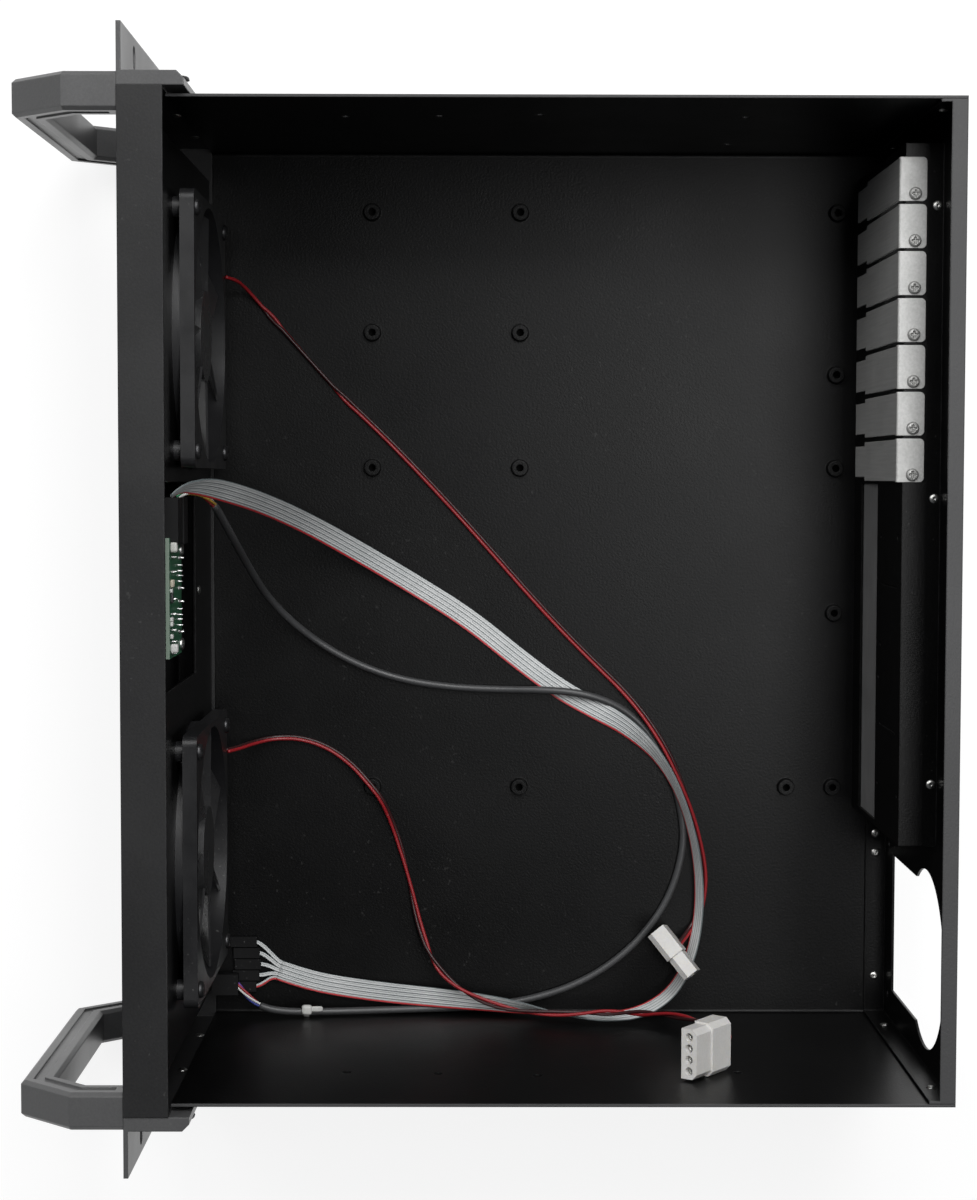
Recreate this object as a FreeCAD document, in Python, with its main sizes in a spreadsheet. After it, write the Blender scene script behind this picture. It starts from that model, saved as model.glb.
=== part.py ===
import FreeCAD, Part
import math
import os

import Sketcher

# Open 19-inch rack case, four units high, lid off: a folded tray with rear panel, front pan, rack ears,
# handles, two fans, front control board and loose leads. Millimetres, +X to the right as seen from the
# front, +Y towards the back, +Z up, origin under the middle of the case.

DIMENSIONS = {
    # whole case
    "sheet_gauge": 1.2, "rack_width": 482.6, "case_height": 177, "body_depth": 352.6, "handle_reach": 47.2,
    "body_width": 426, "rim_height": 168, "fold_radius": 1.4, "panel_play": 0.1,
    # front pan and the wall behind it
    "front_width": 430.4, "front_lip": 19, "bulkhead_setback": 16.3, "bulkhead_flange": 8,
    "bulkhead_side": 198.2, "window_left": 52, "window_right": 37, "window_sill": 62,
    "grille_slot_length": 32, "grille_slot_width": 4, "grille_pitch_across": 37, "grille_pitch_up": 7.6,
    # rack ears and handles
    "ear_leg": 6, "ear_leg_depth": 27.8, "ear_plate": 2, "rack_hole_spread": 465.1, "rack_hole_rise": 101.6,
    "rack_slot_length": 10.3, "rack_slot_width": 6.8, "ear_screw_inset": 4.4, "ear_screw_pitch": 62,
    "handle_width": 16, "handle_inner_edge": 205, "handle_bar": 14.5, "handle_height": 175,
    "handle_corner_run": 24.4, "handle_corner_rise": 21, "handle_edge": 1.6, "groove_inset": 5,
    "groove_width": 4.5, "groove_depth": 0.9, "groove_end": 4, "handle_screw": 1.9, "ear_screw": 1.95,
    "ear_end_gap": 0.5, "screw_play": 0.1,
    # board hole pattern in the tray floor, measured from its rear left hole
    "board_left": 183.3, "board_setback": 28.2, "board_col_r": 58.42, "board_col_b": 78.74,
    "board_col_c": 124.46, "board_col_e": 195.58, "board_col_f": 281.94, "board_row_f": 22.86,
    "board_row_mid": 154.94, "board_row_front": 227.33, "bump_foot": 4.4, "bump_top": 3.8, "bump_rise": 4,
    "bump_bore": 1.75, "side_hole": 2.2,
    # rear panel
    "recess_depth": 18, "recess_left": 199.5, "recess_right": 108, "shelf_height": 126, "rear_flange": 10,
    "rear_top_flange": 6.7, "port_left": 51.6, "port_width": 157, "port_sill": 20.7, "port_height": 44.45,
    "supply_centre": 162.5, "supply_eye_height": 105, "supply_eye": 40.5, "supply_half_width": 33.5,
    "supply_sill": 21.5, "supply_screw": 1.9, "supply_screw_left": 37.2, "supply_screw_right": 36.8,
    "supply_screw_low": 12, "supply_screw_high": 150, "vent_radius": 2, "vent_pitch": 10, "vent_start": 66,
    "vent_height": 142, "vent_rise": 8, "dot_radius": 1.3, "seam_width": 0.8, "seam_depth": 0.4,
    "seam_low": 77, "seam_high": 116, "rivet_radius": 2.2, "rivet_top": 1.3, "rivet_rise": 0.9,
    "pan_rivet_inset": 3.5,
    # expansion slot covers
    "slot_first": 193.4, "slot_pitch": 20.32, "slot_cover": 19, "slot_gauge": 0.9, "slot_tab": 9.2,
    "slot_foot": 19, "slot_tongue": 14.5, "slot_tongue_rise": 26, "slot_window": 13, "slot_window_sill": 48,
    "slot_window_head": 114, "slot_screw_inset": 3.2, "slot_screw": 1.5, "slot_corner": 2,
    "slot_standoff": 2, "slot_relief": 0.45,
    # port plate
    "plate_gauge": 0.8, "plate_rim": 1.2, "bead_inset": 5, "bead_width": 2,
    # fans
    "fan_side": 120, "fan_depth": 25, "fan_spread": 118.1, "fan_height": 80.2, "fan_flange": 6.2,
    "fan_proud": 9.7, "fan_boss": 4.5, "fan_eye_play": 0.4, "fan_corner": 4.5, "fan_bore": 57.6,
    "fan_shell": 59.9, "fan_screw_pitch": 105, "fan_screw": 2.15, "fan_screw_shank": 2, "fan_hub": 20.5,
    "fan_hub_depth": 17, "fan_blade_tip": 56.6, "fan_blade": 1.8, "fan_shaft": 1.5, "fan_running_gap": 0.05,
    "fan_strut": 4.5, "fan_motor_plate": 3, "fan_bearing": 4.2, "fan_well_floor": 1.2, "fan_cup_front": 2,
    "fan_cup_skin": 2, "fan_cup_gap": 0.8, "fan_root_chord": 15, "fan_root_rise": 13, "fan_tip_chord": 33,
    "fan_tip_rise": 12,
    # front controls
    "board_low": 122.2, "board_high": 161.2, "board_from": 28.4, "board_to": 22.9, "board_gauge": 1.6,
    "board_gap": 15.9, "power_radius": 6, "reset_radius": 3.2, "button_play": 0.4, "button_travel": 1.6,
    "button_proud": 2, "button_collar": 1.5, "button_collar_gap": 0.5, "button_rest_gap": 0.4,
    "button_dish": 0.5, "switch_half": 3, "lamp_radius": 1.5, "lamp_proud": 0.8, "usb_width": 13.1,
    "usb_height": 5.7, "usb_skin": 0.4, "usb_proud": 0.3, "usb_play": 0.2, "usb_base": 2, "usb_across": -3,
    "button_height": 152.4, "usb_low": 132, "power_across": 17, "reset_across": 1, "lamp_across": 11,
    "lamp_pitch": 5, "usb_spread": 19, "post_radius": 2.6, "post_screw": 1.45, "post_bore": 1.5,
    "post_rise": 3.2, "post_left": 6, "post_right": 4, "header_reach": 17, "header_grip": 3,
    "header_half": 3.4, "ribbon_header_low": 143, "ribbon_header_high": 158, "usb_header_low": 126,
    "usb_header_high": 138,
    # how far a punch runs past the sheet it goes through
    "over": 1,
    # leads
    "ribbon_radius": 1.9, "usb_cable_radius": 1.8, "lead_radius": 1.2,
    # drive-power plugs
    "plug_length": 27, "plug_width": 24, "plug_thickness": 9.6, "plug_nose": 12, "plug_step": 0.8,
    "pin_pitch": 5.08, "pin_bore": 1.9, "pin_depth": 12, "small_plug_width": 5.1,
    "small_plug_height": 2.6, "small_plug_length": 13,
}

doc = FreeCAD.newDocument("rack_case")
dim = doc.addObject("Spreadsheet::Sheet", "dim")
for row, (alias, number) in enumerate(DIMENSIONS.items(), start=1):
    dim.set(f"A{row}", alias)
    dim.set(f"B{row}", str(number))
    dim.setAlias(f"B{row}", alias)
doc.recompute()

# Planes and edges that several pieces share, as expressions on the sheet
BACK = "((dim.body_depth + dim.handle_reach) / 2)"
FRONT = f"({BACK} - dim.body_depth)"
FRONT_INSIDE = f"({FRONT} + dim.sheet_gauge)"
LIP = f"({FRONT} + dim.front_lip)"
BULKHEAD = f"({FRONT} + dim.bulkhead_setback)"
BULKHEAD_BACK = f"({BULKHEAD} + dim.sheet_gauge)"
SIDE = "(dim.body_width / 2)"
INSIDE = f"({SIDE} - dim.sheet_gauge)"
FITTED = f"({INSIDE} - dim.panel_play)"
FLOOR = "dim.sheet_gauge"
FRONT_SIDE = "(dim.front_width / 2)"
LEG_SIDE = f"({FRONT_SIDE} + dim.ear_leg)"
RECESS = f"({BACK} - dim.recess_depth)"
BOARD_ROW = f"({BACK} - dim.board_setback)"
COVER = f"({RECESS} - dim.slot_standoff)"
FAN_BACK = f"({BULKHEAD_BACK} + dim.fan_proud)"
FAN_FRONT = f"({FAN_BACK} - dim.fan_depth)"
CIRCUIT_FRONT = f"({FRONT_INSIDE} + dim.board_gap)"
CIRCUIT_BACK = f"({CIRCUIT_FRONT} + dim.board_gauge)"

TURNS = {
    "x": FreeCAD.Rotation(FreeCAD.Vector(0, 1, 0), 90),
    "y": FreeCAD.Rotation(FreeCAD.Vector(1, 0, 0), -90),
    "z": FreeCAD.Rotation(),
}
PLANES = {"xy": ("XY_Plane", 1), "yz": ("YZ_Plane", 1), "xz": ("XZ_Plane", -1)}
nodes = {}


def value(text):
    """The number that an expression on the sheet stands for."""
    result = dim.evalExpression(str(text))
    return float(getattr(result, "Value", result))


def bind(piece, texts):
    """Binds properties of a piece to expressions."""
    for path, text in texts.items():
        piece.setExpression(path, str(text))
    return piece


def node(label, piece):
    """Registers a finished sub-part under its own name."""
    piece.Label = label
    nodes[label] = piece
    return piece


def block(name, x, y, z):
    """A box given by its (low, high) expressions along each axis."""
    piece = doc.addObject("Part::Box", name)
    return bind(piece, {
        "Length": f"({x[1]}) - ({x[0]})", "Width": f"({y[1]}) - ({y[0]})", "Height": f"({z[1]}) - ({z[0]})",
        "Placement.Base.x": x[0], "Placement.Base.y": y[0], "Placement.Base.z": z[0]})


def rod(name, axis, start, length, radius):
    """A cylinder along one axis from its start point."""
    piece = doc.addObject("Part::Cylinder", name)
    piece.Placement = FreeCAD.Placement(FreeCAD.Vector(), TURNS[axis])
    return bind(piece, {
        "Radius": radius, "Height": length, "Placement.Base.x": start[0], "Placement.Base.y": start[1],
        "Placement.Base.z": start[2]})


def taper(name, axis, start, length, first, last):
    """A cone along one axis from its start point."""
    piece = doc.addObject("Part::Cone", name)
    piece.Placement = FreeCAD.Placement(FreeCAD.Vector(), TURNS[axis])
    return bind(piece, {
        "Radius1": first, "Radius2": last, "Height": length, "Placement.Base.x": start[0],
        "Placement.Base.y": start[1], "Placement.Base.z": start[2]})


def join(name, pieces):
    """One solid, or a set of solids, fused from several pieces."""
    piece = doc.addObject("Part::MultiFuse", name)
    piece.Shapes = pieces
    piece.Refine = True
    return piece


def cut(name, base, tools):
    """The base with every tool taken out of it."""
    piece = doc.addObject("Part::Cut", name)
    piece.Base = base
    piece.Tool = tools[0] if len(tools) == 1 else join(name + "_tools", tools)
    piece.Refine = True
    return piece


def gather(name, pieces):
    """Separate like solids kept as one group."""
    piece = doc.addObject("Part::Compound", name)
    piece.Links = pieces
    return piece


def place_point(sketch, geometry, position, across, up):
    """Fixes a sketch point at the place that two expressions give."""
    for kind, text in (("DistanceX", across), ("DistanceY", up)):
        index = sketch.addConstraint(Sketcher.Constraint(kind, geometry, position, value(text)))
        sketch.setExpression(f"Constraints[{index}]", str(text))


def polygon(sketch, points):
    """A closed outline of straight lines through the points."""
    corners = [FreeCAD.Vector(value(a), value(b), 0) for a, b in points]
    count = len(corners)
    first = sketch.GeometryCount
    for k in range(count):
        sketch.addGeometry(Part.LineSegment(corners[k], corners[(k + 1) % count]))
    for k in range(count):
        sketch.addConstraint(Sketcher.Constraint("Coincident", first + k, 2, first + (k + 1) % count, 1))
    for k, (across, up) in enumerate(points):
        place_point(sketch, first + k, 1, across, up)


def circle(sketch, centre, radius):
    """A circle about a bound centre."""
    middle = FreeCAD.Vector(value(centre[0]), value(centre[1]), 0)
    index = sketch.addGeometry(Part.Circle(middle, FreeCAD.Vector(0, 0, 1), value(radius)))
    place_point(sketch, index, 3, *centre)
    limit = sketch.addConstraint(Sketcher.Constraint("Radius", index, value(radius)))
    sketch.setExpression(f"Constraints[{limit}]", str(radius))


def new_sketch(body, name, plane, offset, outlines, circles=()):
    """A sketch on one of the body's origin planes, moved along that plane's normal."""
    role = PLANES[plane][0]
    sketch = body.newObject("Sketcher::SketchObject", name)
    support = next(feature for feature in body.Origin.OriginFeatures if feature.Role == role)
    sketch.AttachmentSupport = [(support, "")]
    sketch.MapMode = "FlatFace"
    sketch.setExpression("AttachmentOffset.Base.z", str(offset))
    for points in outlines:
        polygon(sketch, points)
    for centre, radius in circles:
        circle(sketch, centre, radius)
    return sketch


def pad(body, name, plane, low, high, outlines, circles=()):
    """Adds an outline to the body between two planes."""
    start = low if PLANES[plane][1] > 0 else f"-({high})"
    feature = body.newObject("PartDesign::Pad", name)
    feature.Profile = new_sketch(body, name + "_outline", plane, start, outlines, circles)
    return bind(feature, {"Length": f"({high}) - ({low})"})


def pocket(body, name, plane, low, high, outlines, circles=()):
    """Takes an outline out of the body between two planes."""
    start = high if PLANES[plane][1] > 0 else f"-({low})"
    feature = body.newObject("PartDesign::Pocket", name)
    feature.Profile = new_sketch(body, name + "_outline", plane, start, outlines, circles)
    return bind(feature, {"Length": f"({high}) - ({low})"})


def soften(body, name, base, radius, wanted, kind="Fillet"):
    """Rounds or bevels those edges of the last feature that the test picks."""
    doc.recompute()
    names = [f"Edge{k}" for k, edge in enumerate(base.Shape.Edges, start=1) if wanted(edge)]
    feature = body.newObject(f"PartDesign::{kind}", name)
    feature.Base = (base, names)
    return bind(feature, {"Radius" if kind == "Fillet" else "Size": radius})


def lies_at(edge, x=None, y=None, z=None, near=0.05):
    """True where the whole edge keeps the given coordinates."""
    box = edge.BoundBox
    spans = ((x, box.XMin, box.XMax), (y, box.YMin, box.YMax), (z, box.ZMin, box.ZMax))
    return all(want is None or max(abs(low - want), abs(high - want)) < near for want, low, high in spans)


def both(text):
    """The expression and its mirror image."""
    return (f"-({text})", f"({text})")


def pan_screw(name, axis, head, outward, radius, length):
    """A pan-head screw: its head stands out from the point head, its shank runs the other way."""
    shank_way, head_way = ("-", "+") if outward > 0 else ("+", "-")
    step = "xyz".index(axis)

    def along(way, distance):
        point = list(head)
        point[step] = f"({head[step]}) {way} ({distance})"
        return point

    rise = f"({radius}) * 0.9"
    disc_start = head if outward > 0 else along("-", rise)
    shank_start = along(shank_way, length) if outward > 0 else head
    first, last = (f"({radius}) * 1.9", f"({radius}) * 1.3")
    if outward < 0:
        first, last = last, first
    return join(name, [
        taper(name + "_head", axis, disc_start, rise, first, last),
        rod(name + "_shank", axis, shank_start, length, radius)])


# Tray: floor and side walls folded from one sheet, with raised threaded bumps for the board
BOARD_HOLES = [
    ("0", "0"), ("dim.board_col_b", "0"), ("dim.board_col_c", "0"), ("dim.board_col_e", "0"),
    ("dim.board_col_f", "0"), ("dim.board_col_f", "dim.board_row_f"),
] + [(column, line) for line in ("dim.board_row_mid", "dim.board_row_front")
     for column in ("0", "dim.board_col_r", "dim.board_col_c", "dim.board_col_f")]
SIDE_HOLES = [("-62", "116"), ("-21", "118"), ("23", "122"), ("113", "116"), ("114", "35")]


def make_tray():
    body = doc.addObject("PartDesign::Body", "tray_sheet")
    section = [
        (f"-{SIDE}", "0"), (SIDE, "0"), (SIDE, "dim.rim_height"), (INSIDE, "dim.rim_height"),
        (INSIDE, FLOOR), (f"-{INSIDE}", FLOOR), (f"-{INSIDE}", "dim.rim_height"),
        (f"-{SIDE}", "dim.rim_height")]
    fold = pad(body, "tray_fold", "xz", LIP, BACK, [section])
    side, inside, floor = value(SIDE), value(INSIDE), value(FLOOR)
    outer = soften(body, "tray_outer_bend", fold, "dim.fold_radius + dim.sheet_gauge",
                   lambda edge: lies_at(edge, x=side, z=0) or lies_at(edge, x=-side, z=0))
    soften(body, "tray_inner_bend", outer, "dim.fold_radius",
           lambda edge: lies_at(edge, x=inside, z=floor) or lies_at(edge, x=-inside, z=floor))
    bumps, hollows = [], []
    for k, (across, ahead) in enumerate(BOARD_HOLES, start=1):
        x = f"{across} - dim.board_left"
        y = f"{BOARD_ROW} - {ahead}"
        bumps.append(taper(f"bump_{k}", "z", (x, y, "0"), f"{FLOOR} + dim.bump_rise", "dim.bump_foot",
                           "dim.bump_top"))
        hollows.append(taper(f"bump_hollow_{k}", "z", (x, y, "0"), "dim.bump_rise",
                             "dim.bump_foot - dim.sheet_gauge", "dim.bump_top - dim.sheet_gauge"))
        hollows.append(rod(f"bump_bore_{k}", "z", (x, y, "0"), f"{FLOOR} + dim.bump_rise + dim.over",
                           "dim.bump_bore"))
    for k, (along, high) in enumerate(SIDE_HOLES, start=1):
        hollows.append(rod(f"side_hole_{k}", "x", (f"-{SIDE}", along, high), "dim.body_width",
                           "dim.side_hole"))
    node("base_tray", cut("base_tray", join("tray_with_bumps", [body] + bumps), hollows))


# Bulkhead: the inner front wall that carries the fans, its edges folded forwards, with a window
# for the control board and a round eye for each fan
def fan_places():
    return {"left": "-dim.fan_spread", "right": "dim.fan_spread"}


def fan_corners(centre):
    """Screw places at the four corners of a fan."""
    half = "dim.fan_screw_pitch / 2"
    return [(f"{centre} {sx} {half}", f"dim.fan_height {sz} {half}") for sx in "-+" for sz in "-+"]


def make_bulkhead():
    end = f"{BULKHEAD} - dim.bulkhead_flange"
    shell = block("bulkhead_shell", both("dim.bulkhead_side"), (end, BULKHEAD_BACK),
                  (FLOOR, "dim.rim_height"))
    room = block("bulkhead_room", both("dim.bulkhead_side - dim.sheet_gauge"),
                 (f"{end} - dim.over", BULKHEAD),
                 (f"{FLOOR} + dim.sheet_gauge", "dim.rim_height - dim.sheet_gauge"))
    before, through = f"{BULKHEAD} - dim.over", "dim.sheet_gauge + 2 * dim.over"
    window = block("bulkhead_window", ("-dim.window_left", "dim.window_right"),
                   (before, f"{BULKHEAD_BACK} + dim.over"),
                   ("dim.window_sill", "dim.rim_height - 2 * dim.sheet_gauge"))
    tools = [room, window]
    for side, centre in fan_places().items():
        tools.append(rod(f"bulkhead_eye_{side}", "y", (centre, before, "dim.fan_height"), through,
                         "dim.fan_shell + dim.fan_eye_play"))
        for k, (x, z) in enumerate(fan_corners(centre), start=1):
            tools.append(rod(f"bulkhead_hole_{side}_{k}", "y", (x, before, z), through, "dim.fan_screw"))
    node("front_bulkhead", cut("front_bulkhead", shell, tools))


# Front pan: face with folded edges all round, slotted in front of each fan, pierced for the controls
GRILLE_ROWS = 14
GRILLE_COLUMNS = 3
LAMPS = 3


def control_places():
    """Places of the controls on the front face, as (x, z) expressions."""
    places = {"power": ("-dim.power_across", "dim.button_height"),
              "reset": ("dim.reset_across", "dim.button_height")}
    for k in range(LAMPS):
        places[f"lamp_{k + 1}"] = (f"dim.lamp_across + {k} * dim.lamp_pitch", "dim.button_height")
    for k, sign in enumerate((-1, 1), start=1):
        places[f"usb_{k}"] = (f"dim.usb_across + ({sign}) * dim.usb_spread / 2", "dim.usb_low")
    return places


def grille_punch(x, z):
    """A slot-shaped punch lying along X through the front face, in the sheet's present numbers."""
    length, width = value("dim.grille_slot_length"), value("dim.grille_slot_width")
    half = (length - width) / 2
    y = value(f"{FRONT} - dim.over")
    depth = value("dim.sheet_gauge + 2 * dim.over")
    bar = Part.makeBox(2 * half, depth, width, FreeCAD.Vector(x - half, y, z - width / 2))
    ends = [Part.makeCylinder(width / 2, depth, FreeCAD.Vector(x + way * half, y, z),
                              FreeCAD.Vector(0, 1, 0)) for way in (-1, 1)]
    return bar.multiFuse(ends).removeSplitter()


def make_front_panel():
    height = "dim.case_height"
    inner_side = f"({FRONT_SIDE} - dim.sheet_gauge)"
    shell = block("front_shell", both(FRONT_SIDE), (FRONT, LIP), ("0", height))
    room = block("front_room", both(inner_side), (FRONT_INSIDE, f"{LIP} + dim.over"),
                 (FLOOR, f"{height} - dim.sheet_gauge"))
    punches = []
    for centre in fan_places().values():
        for row in range(GRILLE_ROWS):
            for column in range(GRILLE_COLUMNS):
                across, up = column - (GRILLE_COLUMNS - 1) / 2, row - (GRILLE_ROWS - 1) / 2
                punches.append(grille_punch(value(f"{centre} + ({across}) * dim.grille_pitch_across"),
                                            value(f"dim.fan_height + ({up}) * dim.grille_pitch_up")))
    vents = doc.addObject("Part::Feature", "front_vents")
    vents.Shape = Part.makeCompound(punches)
    tools = [room, vents]
    before, through = f"{FRONT} - dim.over", "dim.sheet_gauge + 2 * dim.over"
    wide = "(dim.usb_width / 2 + dim.usb_play)"
    tall = "(dim.usb_height / 2 + dim.usb_play)"
    radii = {"power": "dim.power_radius + dim.button_play", "reset": "dim.reset_radius + dim.button_play"}
    for name, (x, z) in control_places().items():
        if name.startswith("usb"):
            tools.append(block(f"front_{name}", (f"{x} - {wide}", f"{x} + {wide}"),
                               (before, f"{FRONT_INSIDE} + dim.over"), (f"{z} - {tall}", f"{z} + {tall}")))
        else:
            radius = radii.get(name, "dim.lamp_radius + dim.screw_play")
            tools.append(rod(f"front_hole_{name}", "y", (x, before, z), through, radius))
    for k, (x, z) in enumerate(handle_screw_places(), start=1):
        tools.append(rod(f"front_handle_hole_{k}", "y", (x, before, z), through,
                         "dim.handle_screw + 2 * dim.screw_play"))
    node("front_panel", cut("front_panel", shell, tools))


# Rack ears: a thick leg along the pan's side and a thin plate with two rack slots
def make_ears():
    for side, sign in (("left", "-"), ("right", "")):
        def out(text):
            return f"{sign}({text})"

        body = doc.addObject("PartDesign::Body", f"{side}_ear_body")
        edge = "dim.rack_width / 2"
        leg_end = f"{FRONT} + dim.ear_leg_depth"
        plan = [
            (out(FRONT_SIDE), FRONT), (out(edge), FRONT), (out(edge), f"{FRONT} + dim.ear_plate"),
            (out(LEG_SIDE), f"{FRONT} + dim.ear_plate"), (out(LEG_SIDE), f"{leg_end} - dim.ear_leg / 2"),
            (out(f"{LEG_SIDE} - dim.ear_leg / 2"), leg_end), (out(FRONT_SIDE), leg_end)]
        gap = "dim.ear_end_gap"
        pad(body, f"{side}_ear_profile", "xy", gap, f"dim.case_height - {gap}", [plan])
        slots = []
        middle = out("dim.rack_hole_spread / 2")
        for k, z_sign in enumerate(("-", "+"), start=1):
            z = f"dim.case_height / 2 {z_sign} dim.rack_hole_rise / 2"
            half = "(dim.rack_slot_length - dim.rack_slot_width) / 2"
            low, high = f"{FRONT} - dim.over", f"{FRONT} + dim.ear_plate + dim.over"
            rise = "dim.rack_slot_width / 2"
            slots.append(block(f"{side}_slot_{k}", (f"{middle} - {half}", f"{middle} + {half}"),
                               (low, high), (f"{z} - {rise}", f"{z} + {rise}")))
            for end, way in (("inner", "-"), ("outer", "+")):
                slots.append(rod(f"{side}_slot_{k}_{end}", "y", (f"{middle} {way} {half}", low, z),
                                 "dim.ear_plate + 2 * dim.over", rise))
        leg_start = min(out(f"{FRONT_SIDE} - dim.over"), out(f"{LEG_SIDE} + dim.over"), key=value)
        for k, (y, z) in enumerate(ear_screw_places(), start=1):
            slots.append(rod(f"{side}_ear_hole_{k}", "x", (leg_start, y, z), "dim.ear_leg + 2 * dim.over",
                             "dim.ear_screw + dim.screw_play / 2"))
        node(f"{side}_rack_ear", cut(f"{side}_rack_ear", body, slots))


def ear_screw_places():
    """Where each ear is screwed to the side wall, as (y, z)."""
    y = f"{FRONT} + dim.ear_leg_depth - dim.ear_screw_inset"
    return [(y, f"dim.case_height / 2 + ({k}) * dim.ear_screw_pitch") for k in (-1, 0, 1)]


# Handles: a flat-sided bow with slanted corners and a groove along both sides
def handle_band(near, far, end):
    """The bow between two insets from its outer edge, open at the panel, as (y, z) points."""
    slant = "sqrt(dim.handle_corner_run ^ 2 + dim.handle_corner_rise ^ 2)"
    middle = "dim.case_height / 2"

    def leg(text):
        inset = f"({text})"
        reach = f"{FRONT} - dim.handle_reach"
        top = f"dim.handle_height / 2 - {inset}"
        run_shift = f"{inset} * ({slant} - dim.handle_corner_run) / dim.handle_corner_rise"
        rise_shift = f"{inset} * ({slant} - dim.handle_corner_rise) / dim.handle_corner_run"
        corner = f"{reach} + dim.handle_corner_run + {run_shift}"
        shoulder = f"dim.handle_height / 2 - dim.handle_corner_rise - {rise_shift}"
        return [(f"{FRONT} - {end}", top), (corner, top), (f"{reach} + {inset}", shoulder)]

    outer, inner = leg(near), leg(far)
    upper = [(y, f"{middle} + ({z})") for y, z in outer]
    lower = [(y, f"{middle} - ({z})") for y, z in reversed(outer)]
    back_up = [(y, f"{middle} - ({z})") for y, z in inner]
    back_down = [(y, f"{middle} + ({z})") for y, z in reversed(inner)]
    return upper + lower + back_up + back_down


def handle_screw_places():
    """Where the handles are screwed on from behind, as (x, z)."""
    x = "(dim.handle_inner_edge + dim.handle_width * 0.3)"
    rise = "(dim.handle_height / 2 - dim.handle_bar / 2)"
    return [(f"{sx}{x}", f"dim.case_height / 2 {sz} {rise}") for sx in ("-", "") for sz in ("-", "+")]


def make_handles():
    for side, low, high in (
            ("left", "-dim.handle_inner_edge - dim.handle_width", "-dim.handle_inner_edge"),
            ("right", "dim.handle_inner_edge", "dim.handle_inner_edge + dim.handle_width")):
        body = doc.addObject("PartDesign::Body", f"{side}_handle")
        bow = pad(body, f"{side}_bow", "yz", low, high, [handle_band("0", "dim.handle_bar", "0")])
        front = value(FRONT)
        sides = value(low), value(high)
        soften(body, f"{side}_bow_edges", bow, "dim.handle_edge",
               lambda edge: not lies_at(edge, y=front) and any(lies_at(edge, x=x) for x in sides),
               kind="Chamfer")
        groove = handle_band("dim.groove_inset", "dim.groove_inset + dim.groove_width", "dim.groove_end")
        pocket(body, f"{side}_groove_low", "yz", low, f"{low} + dim.groove_depth", [groove])
        pocket(body, f"{side}_groove_high", "yz", f"{high} - dim.groove_depth", high, [groove])
        node(f"{side}_handle", body)
    screws = [
        pan_screw(f"handle_screw_{k}", "y", (x, FRONT_INSIDE, z), 1, "dim.handle_screw", "dim.sheet_gauge")
        for k, (x, z) in enumerate(handle_screw_places(), start=1)]
    node("handle_screws", gather("handle_screws", screws))
    fixings = []
    for side, sign, outward in (("left", "-", -1), ("right", "", 1)):
        for k, (y, z) in enumerate(ear_screw_places(), start=1):
            fixings.append(pan_screw(f"ear_screw_{side}_{k}", "x", (f"{sign}{LEG_SIDE}", y, z), outward,
                                     "dim.ear_screw", f"{LEG_SIDE} - {SIDE}"))
    node("ear_screws", gather("ear_screws", fixings))


# Rear panel: a pan set back behind the slots and ports, with inward flanges and a supply opening
SLOTS = 7
VENT_DOTS = 20
RECESS_DOTS = [("-27.6", "75.5"), ("-28.2", "116.5"), ("22", "75.2"), ("37.4", "71.7"), ("86.7", "71.6"),
               ("86.7", "120.4")]
RECESS_SEAMS = ("-5.8", "58.7")


def slot_left(index):
    """Left edge of one expansion slot cover."""
    return f"(-dim.slot_first + {index} * dim.slot_pitch)"


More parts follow.
